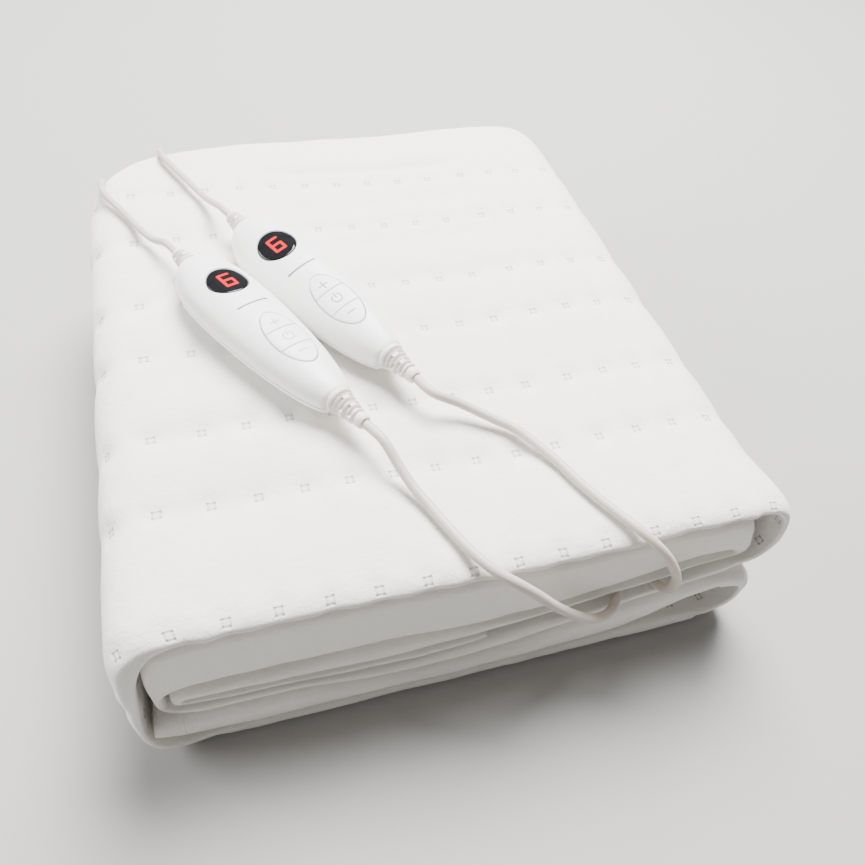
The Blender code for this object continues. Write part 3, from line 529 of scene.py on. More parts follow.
WELDED = ("upper_right", "cover", "left_wall", "floor", "lower_right")     # layers whose welds show
inner = np.array([place[0] for place in section])
outer = np.array([place[1] for place in section])
front = np.array([place[2] for place in section])
layer_name = [place[3] for place in section]
seen = np.array([place[4] for place in section])
welded = np.isin(layer_name, WELDED)
middle = (inner + outer) / 2
half_thick = np.hypot(*(outer - inner).T) / 2
along = np.concatenate([[0.0], np.cumsum(np.hypot(*np.diff(middle, axis=0).T))])
cover_lines = [i for i, name in enumerate(layer_name) if name == "cover"]
cover_zero = np.interp(0.0, middle[cover_lines, 0][::-1], along[cover_lines][::-1])
to_left = along - cover_zero
column = (to_left - LEFT_COLUMN) / SPOT_PITCH
right_side = to_left < WIDE_GAP
column[right_side] = (to_left[right_side] - RIGHT_COLUMN) / SPOT_PITCH - 1.0

# Where the rows of welds are, as whole numbers, with an even rate near each.
row_y, row_number = [200.0], [-ROW_SHARE - 0.3]
for number, y in enumerate(SPOT_ROWS_Y):
    row_y += [y + ROW_REACH, y - ROW_REACH]
    row_number += [number - ROW_SHARE, number + ROW_SHARE]
row_y.append(-200.0)
row_number.append(row_number[-1] + 0.2)


def row_share(y):
    """Which row of welds a depth is at, a whole number on each row."""
    return np.interp(-np.asarray(y), -np.array(row_y), row_number)


BACK_Y, BACK_BOW, BACK_BOW_X = 177.0, 0.0004, 90.0
back = BACK_Y - BACK_BOW * (outer[:, 0] - BACK_BOW_X) ** 2
for side, start, bend in ((-1.0, 108.0, 0.011), (1.0, 130.0, 0.02)):    # its rounded corners
    back -= bend * np.maximum(side * outer[:, 0] - start, 0.0) ** 2
EDGE_RADIUS = 8.0
radius = np.minimum(half_thick, EDGE_RADIUS)
EDGE_TURNS = np.radians((0.0, 18.0, 36.0, 54.0, 70.0, 84.0))
edge_in, edge_cut = 1.0 - np.sin(EDGE_TURNS), 1.0 - np.cos(EDGE_TURNS)
# In front, the faces that show curve down over the whole edge, which ends in a sharper lower lip.
DROOP_RADIUS, DROOP_THICKS, LIP_RADIUS = 11.0, 2.5, 1.2
DROOP_TURNS = EDGE_TURNS * 0.7
front_radius = {
    True: np.where(seen, np.minimum(DROOP_THICKS * half_thick, DROOP_RADIUS), radius),
    False: np.where(seen, LIP_RADIUS, radius)}
droop_in = 1.0 - np.sin(DROOP_TURNS) / np.sin(DROOP_TURNS[-1])
droop_cut = 1.0 - np.cos(DROOP_TURNS)


CORNER_REACH = 160.0
# The stack's rise as a share of its height: at its left side, and how much more at its right.
FRONT_RISE, BACK_RISE = (0.03, 0.02), (0.08, -0.075)
LEFT_ASIDE, RIGHT_ASIDE = 5.0, 6.0      # how far its back left corner and its right side lean left
INSIDE_FROM, INSIDE_OVER = 182.0, 45.0  # the right side starts to lean behind the front edge


def settle(points):
    """Let the straight stack settle: higher at its back left, and leaning a little to the left."""
    x, y, z = points.T
    right, rear = (np.clip((place / CORNER_REACH + 1.0) / 2, 0.0, 1.0) for place in (x, y))
    front_rise, back_rise = (rise[0] + rise[1] * right for rise in (FRONT_RISE, BACK_RISE))
    lift = 1.0 + front_rise + (back_rise - front_rise) * rear
    inside = eased((y + INSIDE_FROM) / INSIDE_OVER)
    aside = -LEFT_ASIDE * rear * (1.0 - right) ** 2 - RIGHT_ASIDE * inside * right ** 2
    return np.stack([x + aside, y, z * lift], axis=1)


# The soft troughs that show on the top, as two ends, a depth and a half width.
TROUGHS = (
    ((-58, 131), (92, 133), 1.6, 4), ((-55, 88), (96, 96), 0.7, 6),
    ((-40, 50), (118, 58), 0.8, 6), ((-30, 18), (118, 18), 0.7, 6),
    ((-160, 10), (-112, 25), 0.9, 7), ((-160, -45), (-108, -38), 0.9, 7),
    ((-160, -88), (-70, -72), 0.8, 8), ((-158, -132), (-60, -118), 0.8, 9),
)
TROUGH_DEEPER = 1.5
PUFF = 0.35                             # how far the cloth stands out between its welds
DIMPLE_DEEP, DIMPLE_WIDE = 1.7, 4.6     # round a weld
FURROW_DEEP, FURROW_WIDE = 0.6, 6.5     # along a row of welds


def quilting(points, columns, rows, lean):
    """How far the quilted face stands in or out, for points of a face of the cloth."""
    x, y = points[:, 0], points[:, 1]
    across = np.abs(columns - np.round(columns)) * SPOT_PITCH
    nearest = np.round(rows)
    depth = np.abs(rows - nearest) * ROW_PITCH
    there = (nearest >= -0.1) & (nearest < len(SPOT_ROWS_Y) - 0.5)
    dimple = np.exp(-0.5 * (across ** 2 + depth ** 2) / DIMPLE_WIDE ** 2) * there
    furrow = np.exp(-0.5 * (depth / FURROW_WIDE) ** 2) * there
    raised = PUFF - DIMPLE_DEEP * dimple - FURROW_DEEP * furrow
    for (x1, y1), (x2, y2), deep, wide in TROUGHS:
        run_x, run_y = x2 - x1, y2 - y1
        length = math.hypot(run_x, run_y)
        share = np.clip(((x - x1) * run_x + (y - y1) * run_y) / length ** 2, -0.2, 1.2)
        gap = (x - x1) * run_y / length - (y - y1) * run_x / length
        ends = np.clip(np.minimum(share, 1.0 - share) * 6.0, 0.0, 1.0)
        raised -= TROUGH_DEEPER * lean * deep * ends * np.exp(-0.5 * (gap / wide) ** 2)
    return raised


def unevenness(points, scale, seed):
    """Smooth chance lumps from -1 to 1, the same on each run."""
    shift = Vector((seed * 13.1, seed * 7.7, seed * 3.3))
    return np.array([noise.noise(Vector(point) / scale + shift) for point in points])


cloth_shape = bmesh.new()
spot_map = cloth_shape.loops.layers.uv.new("welds")
cloth_map = cloth_shape.loops.layers.uv.new("cloth")


def face_grid(outside):
    """Points of one face of the cloth: for each line of the section, its row of points."""
    direction = ((outer if outside else inner) - middle) / np.maximum(half_thick, 1e-6)[:, None]
    fine = np.linspace(0.0, 1.0, DEPTH_POINTS)
    lines = []
    for i in range(len(section)):
        shown = seen[i] and outside
        shares = fine if shown else fine[::FINER]
        start, end, r, rear_r = front[i], back[i], front_radius[outside][i], radius[i]
        into, away = (droop_in, droop_cut) if shown else (edge_in, edge_cut)
        ys = np.concatenate([start + r * into[::-1][:-1],
                             start + r + (end - start - r - rear_r) * shares,
                             (end - rear_r * edge_in)[1:]])
        cut = np.concatenate([r * away[::-1][:-1], np.zeros(len(shares)), rear_r * edge_cut[1:]])
        reach = half_thick[i] - cut
        lines.append(np.stack([middle[i, 0] + direction[i, 0] * reach, ys,
                               middle[i, 1] + direction[i, 1] * reach], axis=1))
    return lines


def normals_of(side):
    """Unit normals of a face's section, pointing out of the cloth."""
    run = np.gradient(side, axis=0)
    across = np.stack([-run[:, 1], run[:, 0]], axis=1)
    across /= np.maximum(np.hypot(*across.T), 1e-9)[:, None]
    outward = side - middle
    flip = np.sign(np.sum(across * outward, axis=1))
    return across * np.where(flip == 0, 1.0, flip)[:, None]


# The front edge is scalloped: it is held back where a weld of the last row pinches it.
SCALLOP, SCALLOP_BACK, FOLD_BACK = 0.45, 0.2, 0.5
on_cover = np.isin(np.arange(len(section)), cover_lines)
wander = np.array([noise.noise(Vector((s / 34.0, 4.2, 1.7))) for s in along])
flutter = np.array([noise.noise(Vector((s / 11.0, 9.4, 5.1))) for s in along])
front = front + 0.9 * wander + 0.35 * flutter
front += np.where(on_cover, SCALLOP * np.cos(2 * math.pi * column) - SCALLOP_BACK, seen * FOLD_BACK)
back = back - 0.8 * wander - 0.4 * flutter

# The two right-hand folds lie tight on each other where they meet, so no cloth stands out there.
PINCH_X, PINCH_LOW, PINCH_HIGH = 150.0, 34.0, 74.0
pinched = (np.isin(layer_name, ("upper_right", "lower_right")) & (outer[:, 0] < PINCH_X)
           & (outer[:, 1] > PINCH_LOW) & (outer[:, 1] < PINCH_HIGH))
SOFT_EDGE = 7.0         # the quilting fades this near to the cloth's edges
HIDDEN_IN = 0.15        # a face that doesn't show is drawn in by this
STANDS_OUT = 1.2        # the most that a shown face may stand out of the folded section
NO_ROW = 2.5            # half way between two rows, where no weld is
LUMPS = ((0.75, 42.0, 1), (0.34, 13.0, 2))      # height, width and seed of the chance lumps

built, map_places = {}, {}
for outside in (True, False):
    lines = face_grid(outside)
    push = normals_of(outer if outside else inner)
    flat = np.concatenate(lines)
    index = np.concatenate([np.full(len(line), i) for i, line in enumerate(lines)])
    rows = np.where(welded[index], row_share(flat[:, 1]), NO_ROW)
    columns = column[index]
    shown = seen[index] & outside
    depth_in = np.minimum(flat[:, 1] - front[index], back[index] - flat[:, 1])
    soft_edge = np.clip(depth_in / SOFT_EDGE, 0.0, 1.0)
    raised = np.where(shown, quilting(flat, columns, rows, on_cover[index] * 1.0), -HIDDEN_IN)
    uneven = sum(high * unevenness(flat, wide, seed) for high, wide, seed in LUMPS)
    raised = raised * (0.25 + 0.75 * soft_edge) + np.where(shown, uneven, 0.25 * uneven)
    raised = np.minimum(raised, np.where(shown & ~pinched[index], STANDS_OUT, 0.0))
    flat[:, 0] += push[index, 0] * raised
    flat[:, 2] += push[index, 1] * raised
    flat = settle(flat)
    flat[:, 2] = np.maximum(flat[:, 2], 0.0)
    flat = (flat - np.array(STACK_MIDDLE)) * MM
    verts = [cloth_shape.verts.new(point) for point in flat]
    starts = np.cumsum([0] + [len(line) for line in lines])
    built[outside] = [verts[a:b] for a, b in zip(starts, starts[1:])]
    for k, vert in enumerate(verts):
        map_places[vert] = (columns[k], rows[k]), (along[index[k]] / 100.0, flat[k, 1] * 10.0)


def place_in(line, number, coarse):
    """Where a point of a plain line has its match in a line that may be finer."""
    edge = len(edge_in) - 1
    finer = max(min(number - edge, coarse - 1 - 2 * edge), 0) if len(line) > coarse else 0
    return number + (FINER - 1) * finer


def lay_faces(lines, turned):
    """Faces between neighbouring lines of points. Where one is finer, it keeps its points."""
    for first, second in zip(lines, lines[1:]):
        coarse = min(len(first), len(second))
        for number in range(coarse - 1):
            spans = []
            for line in (first, second):
                start, end = (place_in(line, j, coarse) for j in (number, number + 1))
                spans.append(line[start:end + 1])
            corners = spans[0] + spans[1][::-1]
            cloth_shape.faces.new(corners if turned else corners[::-1])


lay_faces(built[True], True)
lay_faces(built[False], False)
both_faces = list(zip(built[False], built[True]))
for (in_a, out_a), (in_b, out_b) in zip(both_faces, both_faces[1:]):
    for end in (0, -1):
        corners = (in_a[end], out_a[end], out_b[end], in_b[end])
        cloth_shape.faces.new(corners if end == 0 else corners[::-1])
for end in (0, -1):
    corners = built[False][end] + built[True][end][::-1]
    cloth_shape.faces.new(corners if end == 0 else corners[::-1])
bmesh.ops.recalc_face_normals(cloth_shape, faces=cloth_shape.faces)
for face in cloth_shape.faces:
    for loop in face.loops:
        loop[spot_map].uv, loop[cloth_map].uv = map_places[loop.vert]
many_sided = [face for face in cloth_shape.faces if len(face.verts) > 4]
bmesh.ops.triangulate(cloth_shape, faces=many_sided)
cloth_mesh = bpy.data.meshes.new("quilted_cloth")
cloth_shape.to_mesh(cloth_mesh)
cloth_shape.free()
cloth_mesh.shade_smooth()

fleece = Finish("quilted_fleece", roughness=0.95, specular_ior_level=0.25, sheen_weight=0.35,
                sheen_roughness=0.6, subsurface_weight=0.12,
                subsurface_radius=(0.006, 0.0055, 0.005), subsurface_scale=0.5)
weld_across, weld_deep = fleece.flat_map("welds")
cloth_along = fleece.flat_map("cloth")[0]
# The hem is sewn down along one line, this far along the cloth.
HEM_STITCH_ALONG = float(along[-1]) - 14.5
# A weld is a small square with darker corners. All the welds are in these rows.
MIDDLE_ROW, HALF_ROWS = 2.95, 3.4
in_rows = (weld_deep - MIDDLE_ROW).size().fades(HALF_ROWS, HALF_ROWS + 0.05)
from_side = weld_across.off_nearest().size() * SPOT_PITCH
from_row = weld_deep.off_nearest().size() * ROW_PITCH
ragged = fleece.grain(700.0, detail=3.0) - 0.5
weld_gap = from_side.larger(from_row) + ragged
weld_pressed = weld_gap.fades(1.6, 2.3) * in_rows
weld_middle = weld_gap.fades(0.7, 1.4)
weld_corner = 1.0 - from_side.smaller(from_row).fades(0.5, 1.5)
weld_rim = (weld_pressed - weld_middle * 0.7 * in_rows) * (weld_corner * 0.55 + 0.45)
fluff = fleece.grain(260.0, detail=5.0, rough=0.62)
felt = fleece.grain(1500.0, detail=3.0, rough=0.7)
cloud = fleece.grain(26.0, detail=3.0)
clean = fleece.blend_colours(cloud, (0.865, 0.835, 0.78), (0.895, 0.868, 0.82))
napped = fleece.blend_colours(fluff * 0.35, clean, (0.79, 0.758, 0.70))
hem_line = (cloth_along * 100.0 - HEM_STITCH_ALONG).size().fades(0.35, 0.8)
stitched = fleece.blend_colours(hem_line * 0.6, napped, (0.95, 0.935, 0.915))
fleece.paint("Base Color", fleece.blend_colours(weld_rim * 0.8, stitched, (0.26, 0.25, 0.23)))
fleece.paint("Roughness", 0.96 - weld_pressed * 0.3)
fleece.emboss(fluff * 0.8 + felt * 0.35 - weld_rim * 0.9 - hem_line * 0.9, 0.0012, 0.6)
cloth_mesh.materials.append(fleece.material)

cloth = put_in_scene("quilted_cloth", cloth_mesh)
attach(cloth, BODY)
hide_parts("blanket")


# ---------------------------------------------------------------- the controllers' shells
# Two hand controllers moulded in satin white plastic, each an upper and a lower half snapped
# together. The upper half has a round pocket for its display and an oval one for its keys, and
# a plain printed line between them.
BODY_WIDTH, CROWN, KEEL, SEAM_GAP = 40.5, 15.7, 8.0, 0.4
CROSS_SQUARENESS = 2.3
STATION_AT = (0.0, 0.02, 0.06, 0.12, 0.20, 0.30, 0.42, 0.55, 0.68, 0.80, 0.90, 0.96, 1.0)
STATION_WIDE = (0.33, 0.48, 0.68, 0.84, 0.95, 1.0, 1.0, 0.96, 0.89, 0.79, 0.66, 0.54, 0.43)
STATION_HIGH = (0.50, 0.64, 0.80, 0.92, 0.98, 1.0, 1.0, 0.98, 0.94, 0.87, 0.78, 0.69, 0.60)
WINDOW_ALONG, WINDOW_RADIUS, WINDOW_DEPTH = -26.9, 10.6, 1.6
PAD_ALONG, PAD_LENGTH, PAD_WIDTH = 24.8, 38.5, 18.5
KEY_GAP, KEY_THICK, KEY_PROUD, KEY_TRAVEL = 0.4, 2.2, 0.45, 0.8
END_ROUND = 1.8             # rounding of the shells' ends
SEAM_ROUND = ((0.32, 0.0), (0.05, 0.28))    # rounding beside the seam, as (in, up)
LENS_GAP, UNDER_KEYS = 0.3, 0.5
LINE_ALONG, LINE_HALF, LINE_THICK = -4.8, 9.0, 0.55

body_x = np.linspace(-BODY_LENGTH / 2, BODY_LENGTH / 2, 254)
station_x = (np.array(STATION_AT) - 0.5) * BODY_LENGTH
body_half = soft(np.interp(body_x, station_x, STATION_WIDE), 5) * BODY_WIDTH / 2
body_high = soft(np.interp(body_x, station_x, STATION_HIGH), 5)


def crown_at(x, y):
    """The height of the upper shell's face over the seam."""
    share = min(abs(y) / float(np.interp(x, body_x, body_half)), 1.0)
    high = float(np.interp(x, body_x, body_high)) * CROWN
    return high * (1 - share ** CROSS_SQUARENESS) ** (1 / CROSS_SQUARENESS)


def lofted(name, rings):
    """A closed mesh through rings of points, shut at both ends, its faces outwards."""
    shape = bmesh.new()
    rings = [[shape.verts.new(point) for point in ring] for ring in rings]
    for near, far in zip(rings, rings[1:]):
        for a in range(len(near)):
            b = (a + 1) % len(near)
            shape.faces.new((near[a], near[b], far[b], far[a]))
    shape.faces.new(rings[0])
    shape.faces.new(rings[-1])
    bmesh.ops.remove_doubles(shape, verts=shape.verts, dist=1e-5)
    bmesh.ops.recalc_face_normals(shape, faces=shape.faces)
    mesh = bpy.data.meshes.new(name)
    shape.to_mesh(mesh)
    shape.free()
    return mesh


def shell_half(sign, lengths=110, sides=56):
    """Half of a controller's body, closed, over or under its seam."""
    deep = CROWN if sign > 0 else KEEL
    power = 2.0 / CROSS_SQUARENESS
    rings = []
    for number in range(lengths + 1):
        x = BODY_LENGTH / 2 * math.sin(math.pi * (number / lengths - 0.5))
        to_end = min(BODY_LENGTH / 2 - abs(x), END_ROUND)
        inset = END_ROUND - math.sqrt(END_ROUND ** 2 - (END_ROUND - to_end) ** 2)
        half = float(np.interp(x, body_x, body_half)) - inset
        high = float(np.interp(x, body_x, body_high)) * deep - inset * 0.6
        ring = [(half - into, up) for into, up in SEAM_ROUND]
        for step in range(1, sides):
            angle = math.pi * step / sides
            ring.append((math.copysign(abs(math.cos(angle)) ** power, math.cos(angle)) * half,
                         max(math.sin(angle) ** power * high, 0.3)))
        ring += [(into - half, up) for into, up in SEAM_ROUND[::-1]]
        rings.append([(x, y, sign * (z + SEAM_GAP / 2)) for y, z in ring])
    return lofted("shell_half", rings)


def pocket(name, rim, depth, mouth):
    """A guide that cuts a pocket of a depth under the crown, its rim softened at its mouth."""
    centre = sum(x for x, _ in rim) / len(rim)

    def ring(share, wider, lift):
        """The rim drawn in to a share or let out, over or under the crown."""
        made = []
        for x, y in rim:
            grow = share + wider / math.hypot(x - centre, y)
            new_x, new_y = centre + (x - centre) * grow, y * grow
            made.append((new_x, new_y, crown_at(new_x, new_y) + lift))
        return made

    return put_in_scene(name, lofted(name, [
        ring(0.33, 0.0, -depth), ring(0.66, 0.0, -depth), ring(1.0, 0.0, -depth),
        ring(1.0, 0.0, -mouth), ring(1.0, mouth, 0.02), ring(1.0, mouth, 6.0)]))


def ring_of(length, width, centre, count):
    """Points round an oval on the body's axis."""
    return [(centre + length / 2 * math.cos(2 * math.pi * k / count),
             width / 2 * math.sin(2 * math.pi * k / count)) for k in range(count)]


def plain_mesh(piece):
    """The mesh of a piece with its modifiers worked in."""
    bpy.context.view_layer.update()
    shown = piece.evaluated_get(bpy.context.evaluated_depsgraph_get())
    return bpy.data.meshes.new_from_object(shown)


def map_plan(mesh):
    """Lay a flat map on a piece of a controller: its places along and across the body."""
    for spot, corner in zip(mesh.uv_layers.new(name="plan").data, mesh.loops):
        spot.uv = mesh.vertices[corner.vertex_index].co[:2]


def fit_piece(name, mesh, finish, place, body, nodes, sharp=38.0):
    """Put a finished piece where it belongs, under its body, and hide the parts that it stands for.
    """
    mesh.transform(Matrix.Scale(MM, 4) @ Matrix.Translation(-STACK_MIDDLE) @ place)
    mesh.materials.clear()
    mesh.materials.append(finish)
    mesh.shade_smooth()
    mesh.set_sharp_from_angle(angle=math.radians(sharp))
    piece = put_in_scene(name, mesh)
    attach(piece, body)
    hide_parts(*nodes)


shell = Finish("satin_shell", roughness=0.36, specular_ior_level=0.45, subsurface_weight=0.06,
               subsurface_scale=0.002)
plan_along, plan_across = shell.flat_map("plan")
off_line = ((plan_along - LINE_ALONG).size() - LINE_THICK).larger(plan_across.size() - LINE_HALF)
shell.moulded((30.0, 2.0), ((0.855, 0.848, 0.835), (0.88, 0.874, 0.862)),
              (2600.0, 1.0, 0.1, 0.31), (2600.0, 2.0, 0.00004, 0.3),
              printed=(off_line.fades(-0.12, 0.12), (0.115, 0.125, 0.135)))

shell_top = put_in_scene("shell_top_blank", shell_half(1.0))
lens_hole = 2 * (WINDOW_RADIUS + LENS_GAP)
pockets = [
    pocket("display_pocket", ring_of(lens_hole, lens_hole, WINDOW_ALONG, 96),
           WINDOW_DEPTH + LENS_GAP, 0.32),
    pocket("key_pocket", ring_of(PAD_LENGTH + 2 * KEY_GAP, PAD_WIDTH + 2 * KEY_GAP, PAD_ALONG, 120),
           KEY_THICK - KEY_PROUD + KEY_TRAVEL + UNDER_KEYS, 0.28)]
for tool in pockets:
    cut = shell_top.modifiers.new(tool.name, "BOOLEAN")
    cut.operation, cut.solver, cut.object = "DIFFERENCE", "EXACT", tool
halves = {"upper": plain_mesh(shell_top), "lower": shell_half(-1.0)}
for tool in pockets + [shell_top]:
    bpy.data.objects.remove(tool)
for half in halves.values():
    map_plan(half)
for name, place in controller_places.items():
    for kind, half in halves.items():
        fit_piece(kind + "_housing_" + name, half.copy(), shell.material, place, BODY,
                  [kind + "_shell_" + name])

# ---------------------------------------------------------------- the displays
# A glossy smoked lens flush in each upper half, over one red seven-segment figure that shows
# the heat setting 6. It is a clear moulding painted black behind, glued into its pocket.
FIGURE_HIGH, FIGURE_WIDE, FIGURE_STROKE = 9.4, 5.6, 0.85       # to the middles of its strokes
LENS_SIDES = 72
LENS_RINGS = (      # radius, and height over the crown
    (1.6, 0.1), (3.6, 0.1), (5.6, 0.1), (7.6, 0.1), (9.2, 0.1), (9.9, 0.09), (10.3, 0.02),
    (10.52, -0.14), (WINDOW_RADIUS, -0.45), (WINDOW_RADIUS, -WINDOW_DEPTH))
lens_rings = []
for reach, lift in LENS_RINGS:
    rim = ring_of(2 * reach, 2 * reach, WINDOW_ALONG, LENS_SIDES)
    lens_rings.append([(x, y, crown_at(x, y) + lift) for x, y in rim])
lens_mesh = lofted("lens", lens_rings)
map_plan(lens_mesh)

lens = Finish("smoked_lens", roughness=0.06, specular_ior_level=0.22, emission_strength=0.75)
figure_down, figure_right = lens.flat_map("plan")
figure_down = figure_down - WINDOW_ALONG
half_high, half_wide = FIGURE_HIGH / 2, FIGURE_WIDE / 2
bars = [(down, 0.0, 0.0, half_wide) for down in (-half_high, 0.0, half_high)]
bars += [(down * half_high / 2, right * half_wide, half_high / 2, 0.0)
         for down, right in ((-1, -1), (1, -1), (1, 1))]
lit = None
for down, right, long_down, long_right in bars:
    off_down = ((figure_down - down).size() - long_down).larger(0.0)
    off_right = ((figure_right - right).size() - long_right).larger(0.0)
    gap = (off_down * off_down + off_right * off_right).root()
    bar = gap.fades(FIGURE_STROKE - 0.12, FIGURE_STROKE + 0.16)
    lit = bar if lit is None else lit.larger(bar)
lens_dust = lens.grain(380.0, detail=4.0)
smoke = lens.blend_colours(lens_dust, (0.004, 0.004, 0.005), (0.012, 0.012, 0.014))
lens.paint("Base Color", lens.blend_colours(lit, smoke, (0.35, 0.01, 0.012)))
lens.paint("Emission Color", lens.blend_colours(lit, (0.0, 0.0, 0.0), (1.0, 0.004, 0.006)))
lens.paint("Roughness", lens_dust * 0.08 + 0.03)
for name, place in controller_places.items():
    fit_piece("display_" + name, lens_mesh.copy(), lens.material, place, BODY, ["window_" + name],
              sharp=55.0)

# ---------------------------------------------------------------- the keys
# Three soft-touch keys share one oval on each controller: plus nearest the display, power in
# the middle and minus. Each is pressed on its own, and its symbol is printed in grey.
POWER_HALF = 6.5            # half of the power key's length, to the middles of its gaps
KEY_SPANS = {
    "plus": (-PAD_LENGTH, -POWER_HALF - KEY_GAP / 2),
    "power": (-POWER_HALF + KEY_GAP / 2, POWER_HALF - KEY_GAP / 2),
    "minus": (POWER_HALF + KEY_GAP / 2, PAD_LENGTH),
}
KEY_UNDER = tuple((inset, -KEY_THICK) for inset in (7.0, 4.8, 3.2, 1.6, 0.0))
KEY_RINGS = KEY_UNDER + (   # inset from the outline, and height over a key's face
    (0.0, -0.42), (0.06, -0.2), (0.2, -0.06), (0.42, 0.0), (1.6, 0.0), (3.2, 0.0), (4.8, 0.0))
SYMBOL_STROKE = 0.42
SYMBOL_HALF = 2.7
SYMBOL_ALONG = {"plus": 13.4, "power": 24.8, "minus": 36.2}


def key_outline(low, high, steps=22, splits=10):
    """The outline of one key's share of the oval."""
    low, high = max(low, -PAD_LENGTH / 2), min(high, PAD_LENGTH / 2)
    upper = []
    for step in range(steps + 1):
        x = low + (high - low) * (0.5 - 0.5 * math.cos(math.pi * step / steps))
        upper.append((x, PAD_WIDTH / 2 * math.sqrt(max(1.0 - (2 * x / PAD_LENGTH) ** 2, 0.0))))
    lower = [(x, -y) for x, y in reversed(upper)]
    outline = []
    for side, other in ((upper, lower), (lower, upper)):
        outline += side
        if abs(side[-1][1] - other[0][1]) > 0.01:
            outline += [(side[-1][0], side[-1][1] + (other[0][1] - side[-1][1]) * k / splits)
                        for k in range(1, splits)]
        else:
            outline.pop()
    return outline


def key_mesh(low, high):
    """One key: a thin plate that follows the shell on both faces, with a softened upper edge."""
    outline = key_outline(low, high)
    middle_x = sum(x for x, _ in outline) / len(outline)
    rings = []
    for inset, lift in KEY_RINGS:
        ring = []
        for x, y in outline:
            reach = max(math.hypot(x - middle_x, y), 0.01)
            keep = max(1.0 - inset / reach, 0.12 if inset > 1 else 0.0)
            x, y = middle_x + (x - middle_x) * keep + PAD_ALONG, y * keep
            ring.append((x, y, crown_at(x, y) + KEY_PROUD + lift))
        rings.append(ring)
    return lofted("key", rings)


def printed_bar(down, right, half_down, half_right):
    """1 inside a printed bar and 0 outside it."""
    return (down.size() - half_down).larger(right.size() - half_right).fades(-0.1, 0.12)


def key_finish(name, symbol, ink):
    """A key's soft white with its printed symbol, whose top is towards the display."""
    key = Finish(name, roughness=0.45, specular_ior_level=0.4, subsurface_weight=0.06)
    down, right = key.flat_map("plan")
    down = down - SYMBOL_ALONG[symbol]
    if symbol == "power":
        ring = ((down * down + right * right).root() - SYMBOL_HALF).size() - SYMBOL_STROKE
        opening = (right.size() * 1.7 + down).larger(down * 4.0)
        arc = ring.fades(-0.1, 0.12) * (0.0 - opening).fades(-0.2, 0.1)
        drawn = arc.larger(printed_bar(down + 2.0, right, 1.75, SYMBOL_STROKE))
    else:
        drawn = printed_bar(down, right, SYMBOL_STROKE, SYMBOL_HALF)
        if symbol == "plus":
            drawn = drawn.larger(printed_bar(down, right, SYMBOL_HALF, SYMBOL_STROKE))
    key.moulded((40.0, 2.0), ((0.85, 0.842, 0.828), (0.875, 0.868, 0.855)),
                (2200.0, 2.0, 0.12, 0.38), (2200.0, 2.0, 0.00004, 0.3),
                printed=(drawn * ink, (0.20, 0.20, 0.20)))
    return key.material


KEY_INKS = {"a": 0.65, "b": 0.85}       # the nearer controller's print is fainter
for symbol, span in KEY_SPANS.items():
    blank = key_mesh(*span)
    map_plan(blank)
    for name, place in controller_places.items():
        own = "_%s_%s" % (symbol, name)
        fit_piece("key_top" + own, blank.copy(), key_finish("key" + own, symbol, KEY_INKS[name]),
                  place, "%s_key_%s" % (symbol, name), ["key" + own], sharp=45.0)

# ---------------------------------------------------------------- the strain reliefs
# Flexible beige tapers moulded round each lead where it enters a controller. A smooth collar is
# followed by thin ribs, which small bridges join, turned a quarter from one gap to the next.
LARGE_RELIEF = {"length": BLANKET_RELIEF, "root": 7.3, "tip": 4.1, "ribs": 5, "rib": 1.35}
SMALL_RELIEF = {"length": MAINS_RELIEF, "root": 5.9, "tip": 4.3, "ribs": 3, "rib": 1.2}
COLLAR, RIBS_END = 0.13, 0.80       # where the collar and the ribs end, as shares of the length
FIRST_RIB, LAST_RIB = 0.22, 0.86    # how far along the taper their radii are
RELIEF_SIDES = 40
RELIEF_GAP = 0.3        # between a controller's end and its relief

relief_rubber = Finish("relief_rubber", roughness=0.5, specular_ior_level=0.4,
                       subsurface_weight=0.06)
relief_rubber.moulded((160.0, 3.0), ((0.76, 0.70, 0.655), (0.82, 0.765, 0.72)),
                      (1200.0, 2.0, 0.16, 0.42), (1800.0, 2.0, 0.00006, 0.3))


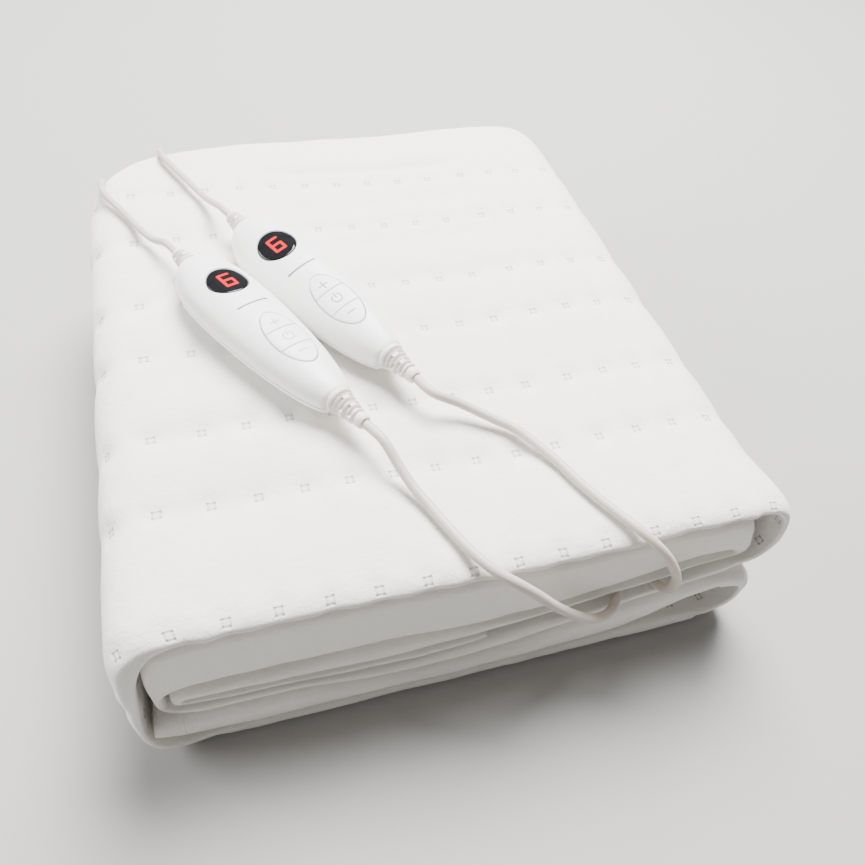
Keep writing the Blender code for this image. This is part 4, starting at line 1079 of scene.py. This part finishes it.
def rib_tree(finish):
    """A Geometry Nodes tree that sets tapering ribs and their bridges along a relief."""
    tree = bpy.data.node_groups.new("relief_ribs", "GeometryNodeTree")
    tree.interface.new_socket("Geometry", in_out="INPUT", socket_type="NodeSocketGeometry")
    for socket in ("Root", "Tip", "Start", "Pitch", "Thickness"):
        tree.interface.new_socket(socket, in_out="INPUT", socket_type="NodeSocketFloat")
    tree.interface.new_socket("Ribs", in_out="INPUT", socket_type="NodeSocketInt")
    tree.interface.new_socket("Geometry", in_out="OUTPUT", socket_type="NodeSocketGeometry")
    sheet = NodeSheet(tree)
    node = sheet.node
    given = {socket.name: Share(sheet, socket) for socket in node("NodeGroupInput").outputs}

    def joined(*parts):
        join = node("GeometryNodeJoinGeometry")
        for part in parts:
            tree.links.new(part, join.inputs[0])
        return join

    number = Share(sheet, node("GeometryNodeInputIndex").outputs[0])
    last = given["Ribs"] - 1.0
    radius = given["Root"] + number / last * (given["Tip"] - given["Root"])
    spot = node("ShaderNodeCombineXYZ", {0: given["Start"] + number * given["Pitch"]})
    spots = node("GeometryNodePoints", {"Count": given["Ribs"], "Position": spot, "Radius": 1.0})

    # A rib is a disc with a rounded rim, a radius of 1 and a thickness of 1 before it is scaled.
    rim, profile = (node("GeometryNodeCurvePrimitiveCircle", {"Resolution": points, "Radius": size},
                         mode="RADIUS") for points, size in ((RELIEF_SIDES, 0.78), (10, 0.22)))
    disc = node("GeometryNodeCurveToMesh", {0: rim, 1: profile})
    disc = node("GeometryNodeTransform", {"Geometry": disc, "Rotation": (0.0, math.pi / 2, 0.0)})
    disc = node("GeometryNodeTransform", {"Geometry": disc, "Scale": (2.27, 1.0, 1.0)})
    scale = node("ShaderNodeCombineXYZ", {0: given["Thickness"], 1: radius, 2: radius})
    ribs = node("GeometryNodeInstanceOnPoints", {"Points": spots, "Instance": disc, "Scale": scale})

    # The bridges stand on opposite sides of a gap, and the next gap's are a quarter turn on.
    block = node("GeometryNodeMeshCube", {"Size": (1.0, 0.5, 0.36)})
    pair = joined(*(node("GeometryNodeTransform", {
        "Geometry": block, "Translation": (0.5, 0.0, side * 0.74)}).outputs[0] for side in (1, -1)))
    turn = node("ShaderNodeCombineXYZ", {0: number * (math.pi / 2)})
    bridges = node("GeometryNodeInstanceOnPoints", {
        "Points": spots, "Instance": pair,
        "Selection": node("FunctionNodeCompare", {2: number, 3: last}, data_type="INT",
                          operation="LESS_THAN"),
        "Rotation": node("FunctionNodeEulerToRotation", {0: turn}),
        "Scale": node("ShaderNodeCombineXYZ", {0: given["Pitch"], 1: radius, 2: radius})})
    both = joined(given["Geometry"].socket, ribs.outputs[0], bridges.outputs[0])
    real = node("GeometryNodeRealizeInstances", {0: both})
    node("NodeGroupOutput", {
        0: node("GeometryNodeSetMaterial", {"Geometry": real, "Material": finish})})
    return tree


def relief_core(size):
    """The collar, the thin core and the tip of a relief, turned round the lead's axis."""
    root, tip, long = size["root"], size["tip"], size["length"]
    collar = long * COLLAR
    profile = ((0.0, root - 0.5), (0.3, root - 0.1), (0.9, root), (collar - 0.35, root),
               (collar, root - 0.35), (collar + 0.05, root * 0.66), (long * RIBS_END, tip * 0.78),
               (long * 0.82, tip - 0.1), (long * 0.86, tip), (long - 0.5, tip - 0.35),
               (long, tip - 0.75))
    turns = [math.tau * k / RELIEF_SIDES for k in range(RELIEF_SIDES)]
    return lofted("relief_core", [[(x, r * math.cos(turn), r * math.sin(turn)) for turn in turns]
                                  for x, r in profile])


ribs_of = rib_tree(relief_rubber.material)
for kind, size, side in (("blanket_relief_", LARGE_RELIEF, 1), ("mains_relief_", SMALL_RELIEF, -1)):
    blank = put_in_scene(kind + "blank", relief_core(size))
    grown = blank.modifiers.new("ribs", "NODES")
    grown.node_group = ribs_of
    taper = size["tip"] - size["root"]
    start = size["length"] * COLLAR + size["rib"] * 0.5 + 0.9
    given = {"Root": size["root"] + taper * FIRST_RIB, "Tip": size["root"] + taper * LAST_RIB,
             "Start": start, "Pitch": (size["length"] * RIBS_END - start) / (size["ribs"] - 0.35),
             "Thickness": size["rib"], "Ribs": size["ribs"]}
    for socket in ribs_of.interface.items_tree:
        if socket.item_type == "SOCKET" and socket.in_out == "INPUT" and socket.name in given:
            grown[socket.identifier] = given[socket.name]
    ribbed = plain_mesh(blank)
    bpy.data.objects.remove(blank)
    end = side * (BODY_LENGTH / 2 + RELIEF_GAP)
    for name, place in controller_places.items():
        seat = place @ Matrix.Translation((end, 0.0, RELIEF_AXIS_Z))
        if side < 0:
            seat = seat @ Matrix.Rotation(math.pi, 4, "Z")
        fit_piece(kind + "ribbed_" + name, ribbed.copy(), relief_rubber.material, seat, BODY,
                  [kind + name], sharp=50.0)
